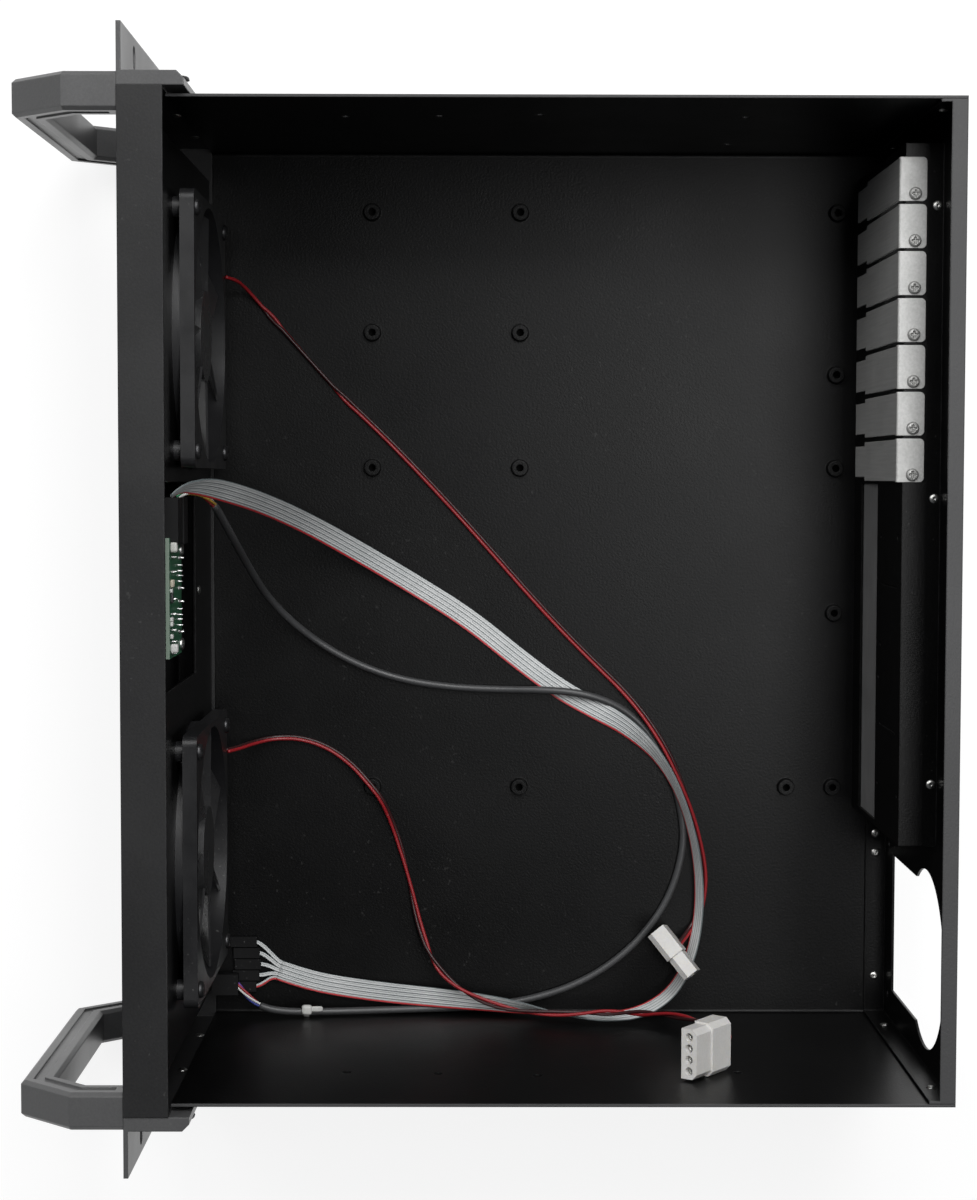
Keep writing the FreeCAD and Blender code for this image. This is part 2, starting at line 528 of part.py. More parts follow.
def make_rear_panel():
    skin = f"({BACK} - dim.sheet_gauge)"
    rim = "dim.rim_height"
    thick = "dim.sheet_gauge"
    recess_left, recess_right = "-dim.recess_left", "dim.recess_right"
    face = block("rear_face", both(FITTED), (skin, BACK), (FLOOR, rim))
    before, behind = f"{skin} - dim.over", f"{BACK} + dim.over"
    mouth = block("rear_mouth", (recess_left, recess_right), (before, behind), ("0", "dim.shelf_height"))
    sheets = [cut("rear_outer", face, [mouth])]
    sheets.append(block("rear_top_flange", both(FITTED), (f"{BACK} - dim.rear_top_flange", BACK),
                        (f"{rim} - {thick}", rim)))
    for side, sign in (("left", "-"), ("right", "")):
        edges = sorted([f"{sign}{FITTED}", f"{sign}({FITTED} - {thick})"], key=value)
        sheets.append(block(f"rear_flange_{side}", edges, (f"{skin} - dim.rear_flange", BACK),
                            (FLOOR, rim)))
    sheets.append(block("rear_foot", (recess_right, FITTED), (f"{skin} - dim.rear_flange", BACK),
                        (FLOOR, f"{FLOOR} + {thick}")))
    sheets.append(block("recess_wall", (recess_left, recess_right), (RECESS, f"{RECESS} + {thick}"),
                        (FLOOR, "dim.shelf_height")))
    sheets.append(block("recess_shelf", (recess_left, recess_right), (RECESS, BACK),
                        (f"dim.shelf_height - {thick}", "dim.shelf_height")))
    for name, low, high in (("left", recess_left, f"{recess_left} + {thick}"),
                            ("right", f"{recess_right} - {thick}", recess_right)):
        sheets.append(block(f"recess_end_{name}", (low, high), (RECESS, BACK), (FLOOR, "dim.shelf_height")))
    deep = (f"{RECESS} - dim.over", f"{RECESS} + {thick} + dim.over")
    tools = [block("port_opening", ("-dim.port_left", "dim.port_width - dim.port_left"), deep,
                   ("dim.port_sill", "dim.port_sill + dim.port_height"))]
    for k in range(SLOTS):
        middle = f"{slot_left(k)} + dim.slot_cover / 2"
        tools.append(block(f"slot_window_{k + 1}",
                           (f"{middle} - dim.slot_window / 2", f"{middle} + dim.slot_window / 2"), deep,
                           ("dim.slot_window_sill", "dim.slot_window_head")))
        tools.append(rod(f"slot_thread_{k + 1}", "z",
                         (*slot_screw_place(k), f"dim.shelf_height - {thick} - dim.over"),
                         f"{thick} + 2 * dim.over", "dim.slot_screw + dim.screw_play / 2"))
    through = f"{thick} + 2 * dim.over"
    for k, (x, z) in enumerate(RECESS_DOTS, start=1):
        tools.append(rod(f"recess_dot_{k}", "y", (x, deep[0], z), through, "dim.dot_radius"))
    for k, x in enumerate(RECESS_SEAMS, start=1):
        tools.append(block(f"recess_seam_{k}", (f"{x} - dim.seam_width / 2", f"{x} + dim.seam_width / 2"),
                           (deep[0], f"{RECESS} + dim.seam_depth"), ("dim.seam_low", "dim.seam_high")))
    centre, half = "dim.supply_centre", "dim.supply_half_width"
    tools.append(rod("supply_eye", "y", (centre, before, "dim.supply_eye_height"), through,
                     "dim.supply_eye"))
    tools.append(block("supply_throat", (f"{centre} - {half}", f"{centre} + {half}"), (before, behind),
                       ("dim.supply_sill", "dim.supply_eye_height")))
    for k, (x, z) in enumerate(supply_screw_places(), start=1):
        tools.append(rod(f"supply_hole_{k}", "y", (x, before, z), through, "dim.supply_screw"))
    for k in range(VENT_DOTS):
        for line in (0, 1):
            tools.append(rod(f"rear_vent_{k}_{line}", "y",
                             (f"-dim.vent_start + ({k} + {line} / 2) * dim.vent_pitch", before,
                              f"dim.vent_height + {line} * dim.vent_rise"), through, "dim.vent_radius"))
    node("rear_panel", cut("rear_panel", join("rear_sheets", sheets), tools))


def supply_screw_places():
    """Screw holes round the supply opening, as (x, z)."""
    left, right = "dim.supply_centre - dim.supply_screw_left", "dim.supply_centre + dim.supply_screw_right"
    return [(x, z) for z in ("dim.supply_screw_low", "dim.supply_screw_high") for x in (left, right)]


def slot_screw_place(index):
    """The screw of one slot cover, near the right edge of its tab."""
    x = f"{slot_left(index)} + dim.slot_cover - dim.slot_screw_inset"
    return (x, f"{RECESS} + dim.slot_tab * 0.45")


def make_slot_covers():
    screws = []
    for k in range(SLOTS):
        name = f"slot_cover_{k + 1}"
        left = slot_left(k)
        right = f"({left} + dim.slot_cover)"
        face = f"({COVER} - dim.slot_gauge)"
        top = "(dim.shelf_height + dim.slot_gauge)"
        tab_end = f"({RECESS} + dim.slot_tab)"
        body = doc.addObject("PartDesign::Body", name)
        bent = pad(body, f"{name}_bend", "yz", left, right, [[
            (face, "dim.slot_foot"), (COVER, "dim.slot_foot"), (COVER, "dim.shelf_height"),
            (tab_end, "dim.shelf_height"), (tab_end, top), (face, top)]])
        crease_y, crease_z = value(face), value(top)
        tab_y, low_x, high_x = value(tab_end), value(left), value(right)
        bend = soften(body, f"{name}_crease", bent, "dim.slot_gauge",
                      lambda edge: lies_at(edge, y=crease_y, z=crease_z))
        soften(body, f"{name}_corners", bend, "dim.slot_corner",
               lambda edge: lies_at(edge, y=tab_y, x=low_x) or lies_at(edge, y=tab_y, x=high_x))
        shoulder = "(dim.slot_cover - dim.slot_tongue) / 2"
        low, waist = "dim.slot_foot - dim.over", "dim.slot_foot + dim.slot_tongue_rise"
        brow = "dim.shelf_height - dim.slot_standoff"
        sides = []
        for edge, way in ((left, "+"), (right, "-")):
            past, strip, step = (f"{edge} {way} ({reach})"
                                 for reach in ("-dim.over", "dim.slot_relief", shoulder))
            sides.append([(past, low), (step, low), (step, waist),
                          (strip, waist), (strip, brow), (past, brow)])
        pocket(body, f"{name}_tongue", "xz", f"{face} - dim.over", f"{COVER} + dim.over", sides)
        x, y = slot_screw_place(k)
        pocket(body, f"{name}_hole", "xy", "dim.shelf_height - dim.over", f"{top} + dim.over", [],
               [((x, y), "dim.slot_screw + dim.screw_play")])
        node(name, body)
        screws.append(pan_screw(f"slot_screw_{k + 1}", "z", (x, y, top), 1, "dim.slot_screw",
                                "dim.slot_gauge + dim.sheet_gauge"))
    node("slot_cover_screws", gather("slot_cover_screws", screws))


# Port plate: a blank sheet behind the board's socket opening, stiffened by a pressed bead
def make_port_plate():
    left, right = "-dim.port_left", "dim.port_width - dim.port_left"
    low, high = "dim.port_sill", "dim.port_sill + dim.port_height"
    front = f"({RECESS} + dim.sheet_gauge)"
    back = f"({front} + dim.plate_gauge)"

    def inset(name, edge, depth):
        return block(name, (f"{left} + {edge}", f"{right} - {edge}"), depth,
                     (f"{low} + {edge}", f"{high} - {edge}"))

    sheet = inset("plate_sheet", "(-dim.plate_rim)", (front, back))
    crest = f"{back} + dim.plate_gauge"
    ring = inset("plate_ring", "dim.bead_inset", (back, crest))
    inside = inset("plate_ring_inside", "(dim.bead_inset + dim.bead_width)", (back, f"{crest} + dim.over"))
    node("port_plate", join("port_plate", [sheet, cut("plate_bead", ring, [inside])]))


# Rivets that hold the rear panel and the bulkhead in the tray
FOOT_RIVETS = ("121.7", "131.3", "193")
FLANGE_RIVETS = ("32", "146")
PAN_RIVETS = ("40", "104")
SHELF_RIVETS = ("-172.6", "-45.3", "80.6")
SILL_RIVET = ("-1", "51")


def rivet(name, axis, point, way):
    """A low domed head that stands out from a face, up or down the axis."""
    foot, top, rise = "dim.rivet_radius", "dim.rivet_top", "dim.rivet_rise"
    if way > 0:
        return taper(name, axis, point, rise, foot, top)
    step = "xyz".index(axis)
    shifted = list(point)
    shifted[step] = f"{point[step]} - {rise}"
    return taper(name, axis, shifted, rise, top, foot)


def make_rivets():
    heads = []
    foot_top = f"{FLOOR} + dim.sheet_gauge"
    flange_face = f"({FITTED} - dim.sheet_gauge)"
    rear_y = f"{BACK} - dim.sheet_gauge - dim.rear_flange / 2"
    pan_face = f"({FRONT_SIDE} - dim.sheet_gauge)"
    pan_y = f"{LIP} - dim.pan_rivet_inset"
    for k, x in enumerate(FOOT_RIVETS, start=1):
        heads.append(rivet(f"foot_rivet_{k}", "z", (x, rear_y, foot_top), 1))
    for place, face, y, heights in (("rear", flange_face, rear_y, FLANGE_RIVETS),
                                    ("front", pan_face, pan_y, PAN_RIVETS)):
        for k, z in enumerate(heights, start=1):
            heads.append(rivet(f"{place}_rivet_left_{k}", "x", (f"-{face}", y, z), 1))
            heads.append(rivet(f"{place}_rivet_right_{k}", "x", (face, y, z), -1))
    shelf_y = f"{BACK} - dim.sheet_gauge - dim.rivet_radius - dim.over / 2"
    for k, x in enumerate(SHELF_RIVETS, start=1):
        heads.append(rivet(f"shelf_rivet_{k}", "z", (x, shelf_y, "dim.shelf_height"), 1))
    heads.append(rivet("sill_rivet", "y", (SILL_RIVET[0], BULKHEAD_BACK, SILL_RIVET[1]), 1))
    node("panel_rivets", gather("panel_rivets", heads))


# Fans: a square flange behind the bulkhead, a round shell through it, and a seven-bladed rotor on a
# short shaft that shows its blades to the inside
BLADES = 7
STRUTS = 4


def make_fan(side, centre):
    half = "dim.fan_side / 2"
    height = "dim.fan_height"
    flange_front = f"({FAN_BACK} - dim.fan_flange)"
    flange = block(f"fan_{side}_flange", (f"{centre} - {half}", f"{centre} + {half}"),
                   (flange_front, FAN_BACK), (f"{height} - {half}", f"{height} + {half}"))
    corners = doc.addObject("Part::Fillet", f"fan_{side}_flange_corners")
    corners.Base = flange
    doc.recompute()
    radius = value("dim.fan_corner")
    corners.Edges = [(k, radius, radius) for k, edge in enumerate(flange.Shape.Edges, start=1)
                     if lies_at(edge, x=edge.BoundBox.XMin, z=edge.BoundBox.ZMin)]
    bosses = [rod(f"fan_{side}_boss_{k}", "y", (x, BULKHEAD_BACK, z),
                  f"{flange_front} - {BULKHEAD_BACK} + dim.over", "dim.fan_boss")
              for k, (x, z) in enumerate(fan_corners(centre), start=1)]
    shell = rod(f"fan_{side}_shell", "y", (centre, FAN_FRONT, height), "dim.fan_depth", "dim.fan_shell")
    before, through = f"{FAN_FRONT} - dim.over", "dim.fan_depth + 2 * dim.over"
    tools = [rod(f"fan_{side}_bore", "y", (centre, before, height), through, "dim.fan_bore")]
    for k, (x, z) in enumerate(fan_corners(centre), start=1):
        tools.append(rod(f"fan_{side}_hole_{k}", "y", (x, before, z), through, "dim.fan_screw"))
    ring = cut(f"fan_{side}_ring", join(f"fan_{side}_casing", [corners, shell] + bosses), tools)
    motor = rod(f"fan_{side}_motor_plate", "y", (centre, FAN_FRONT, height), "dim.fan_motor_plate",
                "dim.fan_hub + dim.over")
    bearing = rod(f"fan_{side}_bearing", "y", (centre, FAN_FRONT, height), "dim.fan_hub_depth",
                  "dim.fan_bearing")
    struts = []
    for k in range(STRUTS):
        reach, wide = "(dim.fan_hub - dim.over)", "dim.fan_strut / 2"
        strut = block(f"fan_{side}_strut_{k + 1}", both(wide), ("0", "dim.fan_motor_plate"),
                      (reach, "dim.fan_bore + dim.over"))
        angle = 360 / STRUTS * (k + 0.5)
        strut.Placement = FreeCAD.Placement(
            FreeCAD.Vector(), FreeCAD.Rotation(FreeCAD.Vector(0, 1, 0), angle))
        sine, cosine = f"{math.sin(math.radians(angle)):.6f}", f"{math.cos(math.radians(angle)):.6f}"
        bind(strut, {
            "Placement.Base.x": f"{centre} + {sine} * {reach} - {cosine} * {wide}",
            "Placement.Base.y": FAN_FRONT,
            "Placement.Base.z": f"{height} + {cosine} * {reach} + {sine} * {wide}"})
        struts.append(strut)
    well = rod(f"fan_{side}_well", "y", (centre, f"{FAN_FRONT} + dim.fan_well_floor", height),
               "dim.fan_depth", "dim.fan_shaft + dim.fan_running_gap")
    frame = cut(f"fan_frame_{side}", join(f"fan_{side}_frame", [ring, motor, bearing] + struts), [well])
    node(f"fan_frame_{side}", frame)
    make_rotor(side, centre)


def make_rotor(side, centre):
    """Hub cup, shaft and twisted blades, each blade drawn between a steep root and a flatter tip.

    It is drawn from the cup's closed end, which faces the back, towards the motor plate."""
    body = doc.addObject("PartDesign::Body", f"fan_rotor_{side}")
    cup_front = "dim.fan_cup_front"
    cup_back = "(dim.fan_depth - dim.fan_motor_plate - dim.fan_cup_gap)"
    axis_point = ("0", "0")
    pad(body, f"rotor_{side}_cup", "xz", cup_front, cup_back, [], [(axis_point, "dim.fan_hub")])
    pocket(body, f"rotor_{side}_hollow", "xz", f"{cup_front} + dim.fan_cup_skin",
           f"{cup_back} + dim.over", [], [(axis_point, "dim.fan_hub - dim.fan_cup_skin")])
    pad(body, f"rotor_{side}_shaft", "xz", f"{cup_front} + dim.over", "dim.fan_depth - 2 * dim.over", [],
        [(axis_point, "dim.fan_shaft")])
    middle = f"({cup_front} + dim.fan_root_rise / 2)"
    sections = []
    for name, radius in (("root", "dim.fan_hub - dim.over"), ("tip", "dim.fan_blade_tip")):
        thick, chord, rise = "dim.fan_blade / 2", f"dim.fan_{name}_chord / 2", f"dim.fan_{name}_rise / 2"
        points = [
            (f"{middle} - {rise}", f"-{chord} + {thick}"), (f"{middle} - {rise} + {thick}", f"-{chord}"),
            (f"{middle} + {rise}", f"{chord} - {thick}"), (f"{middle} + {rise} - {thick}", chord)]
        sections.append(new_sketch(body, f"rotor_{side}_{name}", "yz", radius, [points]))
    blade = body.newObject("PartDesign::AdditiveLoft", f"rotor_{side}_blade")
    blade.Profile = sections[0]
    blade.Sections = [sections[1]]
    blade.Ruled = True
    doc.recompute()
    fan = body.newObject("PartDesign::PolarPattern", f"rotor_{side}_blades")
    fan.Originals = [blade]
    spin = next(feature for feature in body.Origin.OriginFeatures if feature.Role == "Y_Axis")
    fan.Axis = (spin, [""])
    fan.Angle = 360
    fan.Occurrences = BLADES
    body.Tip = fan
    doc.recompute()
    pocket(body, f"rotor_{side}_trim", "xz", "0", "dim.fan_depth", [],
           [(axis_point, "dim.fan_side / 2 * 1.2"), (axis_point, "dim.fan_blade_tip")])
    body.Placement = FreeCAD.Placement(FreeCAD.Vector(), FreeCAD.Rotation(FreeCAD.Vector(0, 0, 1), 180))
    bind(body, {"Placement.Base.x": centre, "Placement.Base.y": FAN_BACK,
                "Placement.Base.z": "dim.fan_height"})
    node(f"fan_rotor_{side}", body)


def make_fans():
    screws = []
    for side, centre in fan_places().items():
        make_fan(side, centre)
        for k, (x, z) in enumerate(fan_corners(centre), start=1):
            screws.append(pan_screw(
                f"fan_screw_{side}_{k}", "y", (x, FAN_BACK, z), 1, "dim.fan_screw_shank",
                "dim.fan_proud + dim.sheet_gauge"))
    node("fan_screws", gather("fan_screws", screws))


# Front controls: board on two posts, buttons with their switches, lamps, sockets and lead plugs.
# Each board component is its middle across and up, then width, height and thickness.
BOARD_CHIPS = [(-19, 154, 6, 8, 1.2), (-9, 155, 4, 5, 1.6), (2, 154, 7, 7, 1.1), (11, 156, 3, 4, 2.2),
               (17, 153, 3, 6, 1.4)]


def make_controls():
    places = control_places()
    board = block("circuit_sheet", ("-dim.board_from", "dim.board_to"), (CIRCUIT_FRONT, CIRCUIT_BACK),
                  ("dim.board_low", "dim.board_high"))
    post_z = "dim.board_low + dim.post_rise"
    post_places = [("-dim.board_from + dim.post_left", post_z), ("dim.board_to - dim.post_right", post_z)]
    holes = [rod(f"board_hole_{k}", "y", (x, f"{CIRCUIT_FRONT} - dim.over", z),
                 "dim.board_gauge + 2 * dim.over", "dim.post_bore")
             for k, (x, z) in enumerate(post_places, start=1)]
    node("front_board", cut("front_board", board, holes))
    posts = [rod(f"board_post_{k}", "y", (x, FRONT_INSIDE, z), "dim.board_gap", "dim.post_radius")
             for k, (x, z) in enumerate(post_places, start=1)]
    node("board_posts", gather("board_posts", posts))
    node("board_screws", gather("board_screws", [
        pan_screw(f"board_screw_{k}", "y", (x, CIRCUIT_BACK, z), 1, "dim.post_screw", "dim.board_gauge")
        for k, (x, z) in enumerate(post_places, start=1)]))
    for name in ("power", "reset"):
        make_button(name, *places[name])
    tip = f"({FRONT} - dim.lamp_proud)"
    lamps = [rod(f"{name}_lens", "y", (x, tip, z), f"{CIRCUIT_FRONT} - {tip}", "dim.lamp_radius")
             for name, (x, z) in places.items() if name.startswith("lamp")]
    node("indicator_lamps", gather("indicator_lamps", lamps))
    for name, side in (("usb_1", "left"), ("usb_2", "right")):
        make_usb_socket(side, *places[name])
    chips = []
    for k, (x, z, wide, tall, thick) in enumerate(BOARD_CHIPS, start=1):
        chips.append(block(f"board_chip_{k}", (f"{x} - {wide} / 2", f"{x} + {wide} / 2"),
                           (CIRCUIT_BACK, f"{CIRCUIT_BACK} + {thick}"),
                           (f"{z} - {tall} / 2", f"{z} + {tall} / 2")))
    node("board_chips", gather("board_chips", chips))
    edge, grip = "-dim.board_from", "-dim.board_from + dim.header_grip"
    depth = (f"{CIRCUIT_FRONT} - dim.header_half", f"{CIRCUIT_BACK} + dim.header_half")
    for name in ("ribbon_header", "usb_header"):
        rise = (f"dim.{name}_low", f"dim.{name}_high")
        housing = block(f"{name}_housing", (f"{edge} - dim.header_reach", grip), depth, rise)
        slit = block(f"{name}_slit", (edge, f"{grip} + dim.over"), (CIRCUIT_FRONT, CIRCUIT_BACK), rise)
        node(name, cut(name, housing, [slit]))


def make_button(name, x, z):
    """A cap with a collar behind the panel, and the switch that it presses."""
    radius = f"dim.{name}_radius"
    tip = f"({FRONT} - dim.button_proud)"
    collar_front = f"({FRONT_INSIDE} + dim.button_collar_gap)"
    collar_back = f"({collar_front} + dim.button_collar)"
    cap = rod(f"{name}_cap", "y", (x, tip, z), f"{collar_back} - {tip}", radius)
    collar = rod(f"{name}_collar", "y", (x, collar_front, z), "dim.button_collar",
                 f"{radius} + dim.sheet_gauge")
    dish = taper(f"{name}_dish", "y", (x, tip, z), "dim.button_dish", f"{radius} * 0.8", f"{radius} * 0.55")
    node(f"{name}_button", cut(f"{name}_button", join(f"{name}_turned", [cap, collar]), [dish]))
    base_front = f"({collar_back} + dim.button_travel + dim.button_rest_gap)"
    half = "dim.switch_half"
    base = block(f"{name}_switch_base", (f"{x} - {half}", f"{x} + {half}"), (base_front, CIRCUIT_FRONT),
                 (f"{z} - {half}", f"{z} + {half}"))
    node(f"{name}_switch", base)


def make_usb_socket(side, x, z):
    """A metal shell with a tongue, standing on the board and reaching through the panel."""
    wide, tall, skin = "dim.usb_width / 2", "dim.usb_height / 2", "dim.usb_skin"
    front, base = f"({FRONT} - dim.usb_proud)", f"({CIRCUIT_FRONT} - dim.usb_base)"
    shell = block(f"usb_{side}_shell", (f"{x} - {wide}", f"{x} + {wide}"), (front, CIRCUIT_FRONT),
                  (f"{z} - {tall}", f"{z} + {tall}"))
    room = block(f"usb_{side}_room", (f"{x} - {wide} + {skin}", f"{x} + {wide} - {skin}"),
                 (f"{front} - dim.over", base), (f"{z} - {tall} + {skin}", f"{z} + {tall} - {skin}"))
    node(f"usb_socket_{side}", cut(f"usb_socket_{side}", shell, [room]))
    node(f"usb_tongue_{side}", block(
        f"usb_tongue_{side}", (f"{x} - {wide} + 2 * {skin}", f"{x} + {wide} - 2 * {skin}"),
        (f"{front} + dim.over", base), (f"{z} + {skin} / 2", f"{z} + {tall} - 2 * {skin}")))


# Loose leads: each lies on the tray floor along hand-chosen points, straight runs joined by wide arcs
RIBBON_ROUTE = [
    (-45.4, -134.8, 150.5), (-49.5, -131.2, 149.2), (-50.5, -123, 140), (-47.5, -113.5, 116),
    (-41.5, -100.5, 78), (-31.5, -83.5, 38), (-18, -62, 13), (-2.5, -36.5, 5.5), (15, -8.5, 4),
    (36.5, 18, 4), (50.5, 37, 3.8), (59.5, 53.5, 4.2), (68.5, 70.5, 6), (83, 86, 9), (103, 96.8, 10),
    (126.5, 103.6, 9.6), (151.5, 106.3, 9.4), (176, 103.8, 9.4), (196, 94.6, 11.5), (206, 78, 17),
    (208, 58, 21), (207.6, 37, 19), (205.6, 10, 12.5), (203.4, -17, 9), (201.5, -44.5, 6),
    (199, -68, 4.4), (194.5, -90, 3.6), (188.5, -111.5, 3.6)]
USB_ROUTE = [
    (-45.4, -134.8, 132), (-48.8, -130.2, 131), (-45.5, -121.5, 120), (-30.5, -116.8, 91),
    (-14.5, -112.6, 56), (4, -105.5, 24), (21, -90.5, 8), (35.5, -69, 4.6), (45, -44.5, 4.4),
    (49.2, -18.5, 4.2), (50.3, 7.2, 4.4), (50.2, 28, 8.6), (51.2, 44, 10.2), (54.8, 58, 7.6),
    (61, 70, 4.6), (71, 80.5, 3.8), (86, 89.5, 3.8), (103, 95.6, 3.8), (121, 98.8, 4), (136, 97, 4.2),
    (151, 92.4, 4), (166, 84, 4), (182.2, 69.5, 4.2), (195.5, 50, 4), (203.8, 27.5, 4.2),
    (208.2, 2.5, 4.2), (209.2, -24.5, 5), (209.5, -51.5, 7), (209.6, -76, 9.6), (209.3, -96.5, 12),
    (207.2, -109.5, 12.6), (201.4, -117.6, 11), (196, -122.6, 8.8)]
UPPER_LEAD_ROUTE = [
    (-150, -125.5, 23), (-149.3, -120.8, 18), (-146, -116.8, 9), (-138.5, -110.5, 3.6),
    (-127.5, -100.6, 2.9), (-111.5, -86.5, 2.9), (-94.5, -71.2, 2.9), (-80, -55.5, 2.9),
    (-63, -38.5, 2.9), (-41, -17.8, 2.9), (-17.5, 3.4, 2.9), (4.8, 23, 3), (22.5, 39.5, 3.2),
    (38, 55, 3.6), (51, 68.5, 5), (64, 79.3, 7.6), (79, 89, 8.8), (94.5, 96.6, 7.6), (110, 103.4, 5),
    (127, 108.2, 3.2), (142, 110.5, 2.9), (155, 109.4, 3), (165, 105.4, 4.4), (171.4, 100.4, 8.6),
    (175, 95.6, 13.6)]
LOWER_LEAD_ROUTE = [
    (78.5, -125.5, 23), (77.8, -120.5, 18), (76, -113.5, 9), (74.2, -104, 3.6), (74.4, -91, 2.9),
    (79, -77.5, 2.9), (87, -66, 5), (96, -57.4, 8.8), (104, -51, 8.6), (116, -46, 4), (131, -41, 3),
    (148, -37, 3.2), (168, -32.4, 6.4), (186, -25, 12.4), (197, -11, 16.6), (202.6, 9, 20),
    (203.6, 31.5, 24.5), (203.4, 53.5, 28), (203.4, 68.5, 34), (201.6, 79.5, 46), (199, 88.5, 61),
    (197.4, 98.5, 78), (198.2, 108, 91.5), (199.4, 111.8, 103), (199.5, 105.8, 111.6)]


PINS = 4

# Each power plug's middle, the way from its pins to its wires, and the way along its row of pins
UPPER_PLUG = ((177.4, 92.6, 22.8), (-0.746, -0.610, -0.259), (-0.200, -0.164, 0.966))
LOWER_PLUG = ((199.5, 98, 121.5), (0, 0.616, -0.788), (1, 0, 0))
SMALL_PLUGS = [(176, -113, 2), (181.6, -111.6, 2), (187.2, -111, 2), (192.8, -111.8, 2), (198.4, -113.4, 2)]
BOARD_PLUG = (196, -121.8, 6.2)


def lead_path(points):
    """Straight runs joined by tangent arcs, each arc as large as its two runs allow."""
    corners = [FreeCAD.Vector(*point) for point in points]
    edges, radii = [], []
    start = corners[0]
    for before, corner, after in zip(corners, corners[1:], corners[2:]):
        back, ahead = before - corner, after - corner
        turn = math.pi - back.getAngle(ahead)
        reach = 0.45 * min(back.Length, ahead.Length)
        radius = reach / math.tan(turn / 2)
        back.normalize()
        ahead.normalize()
        inward = back + ahead
        inward.normalize()
        first, last = corner + back * reach, corner + ahead * reach
        middle = corner + inward * (radius / math.cos(turn / 2) - radius)
        edges.append(Part.LineSegment(start, first).toShape())
        edges.append(Part.Arc(first, middle, last).toShape())
        radii.append(radius)
        start = last
    edges.append(Part.LineSegment(start, corners[-1]).toShape())
    return Part.Wire(edges), radii


def make_lead(name, points, radius_alias):
    """A round tube along a route, its volume compared with section times length."""
    radius = value(f"dim.{radius_alias}")
    path, radii = lead_path(points)
    heading = FreeCAD.Vector(*points[1]) - FreeCAD.Vector(*points[0])
    section = Part.Wire(Part.makeCircle(radius, FreeCAD.Vector(*points[0]), heading))
    tube = path.makePipeShell([section], True, False)
    ratio = tube.Volume / (math.pi * radius ** 2 * path.Length)
    print(f"{name}: length {path.Length:.0f}, tightest radius {min(radii):.1f}, volume ratio {ratio:.4f}")
    if abs(ratio - 1) > 0.01:
        raise RuntimeError(f"{name} has the wrong volume")
    piece = doc.addObject("Part::Feature", name)
    piece.Shape = tube
    node(name, piece)


def make_plug(name, middle, back, across):
    """A four-way drive-power plug, a keyed block with a narrower nose and pin bores.

    It is set by its middle, the way to its wires and the way along its row."""
    half_long = "dim.plug_length / 2"
    body = doc.addObject("PartDesign::Body", name)
    key = "dim.plug_thickness / 4"

    def outline(step):
        row, thick = f"(dim.plug_width / 2 - {step})", f"(dim.plug_thickness / 2 - {step})"
        return [(f"-{row}", f"-{thick}"), (row, f"-{thick}"), (row, f"{thick} - {key}"),
                (f"{row} - {key}", thick), (f"-{row} + {key}", thick), (f"-{row}", f"{thick} - {key}")]

    shoulder = f"-{half_long} + dim.plug_nose"
    pad(body, f"{name}_block", "xz", shoulder, half_long, [outline("0")])
    pad(body, f"{name}_nose", "xz", f"-{half_long}", shoulder, [outline("dim.plug_step")])
    bores = [((f"({k} - {(PINS - 1) / 2}) * dim.pin_pitch", "0"), "dim.pin_bore") for k in range(PINS)]
    pocket(body, f"{name}_bores", "xz", f"-{half_long}", f"-{half_long} + dim.pin_depth", [], bores)
    along, row = FreeCAD.Vector(*back), FreeCAD.Vector(*across)
    body.Placement = FreeCAD.Placement(
        FreeCAD.Vector(*middle), FreeCAD.Rotation(row, along, FreeCAD.Vector(), "YXZ"))
    node(name, body)


def make_small_plugs():
    """Five two-way sockets side by side at the ribbon's end, and the sheathed lead's board plug."""
    wide, tall, long = "dim.small_plug_width", "dim.small_plug_height", "dim.small_plug_length"
    sockets = []
    for k, (x, y, z) in enumerate(SMALL_PLUGS, start=1):
        sockets.append(block(f"small_plug_{k}", (f"{x} - {wide} / 2", f"{x} + {wide} / 2"),
                             (f"{y} - {long}", str(y)), (str(z), f"{z} + {tall}")))
    node("panel_lead_plugs", gather("panel_lead_plugs", sockets))
    x, y, z = BOARD_PLUG
    node("board_plug", block("board_plug", (f"{x} - {wide}", f"{x} + {wide}"), (f"{y} - {long}", str(y)),
                             (str(z), f"{z} + 2 * {tall}")))


def make_leads():
    make_lead("ribbon_cable", RIBBON_ROUTE, "ribbon_radius")
    make_lead("usb_cable", USB_ROUTE, "usb_cable_radius")
    make_lead("upper_fan_lead", UPPER_LEAD_ROUTE, "lead_radius")
    make_lead("lower_fan_lead", LOWER_LEAD_ROUTE, "lead_radius")
    make_plug("upper_fan_plug", *UPPER_PLUG)
    make_plug("lower_fan_plug", *LOWER_PLUG)
    make_small_plugs()


make_tray()
make_bulkhead()
make_front_panel()
make_ears()
make_handles()
make_rear_panel()
make_slot_covers()
make_port_plate()
make_rivets()
make_fans()
make_controls()
make_leads()
doc.recompute()

# Every object has to be sound before any file is written
for piece in doc.Objects:
    if "Invalid" in piece.State or "Error" in piece.State:
        raise RuntimeError(f"{piece.Label} failed: {piece.State}")
os.makedirs("parts", exist_ok=True)
for label, piece in nodes.items():
    if piece.Shape.isNull() or not piece.Shape.isValid():
        raise RuntimeError(f"{label} has no valid shape")
for label, piece in nodes.items():
    piece.Shape.exportStep(f"parts/{label}.step")
print(len(nodes), "sub-parts written")
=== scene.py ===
import bpy
import numpy as np
from mathutils import Matrix


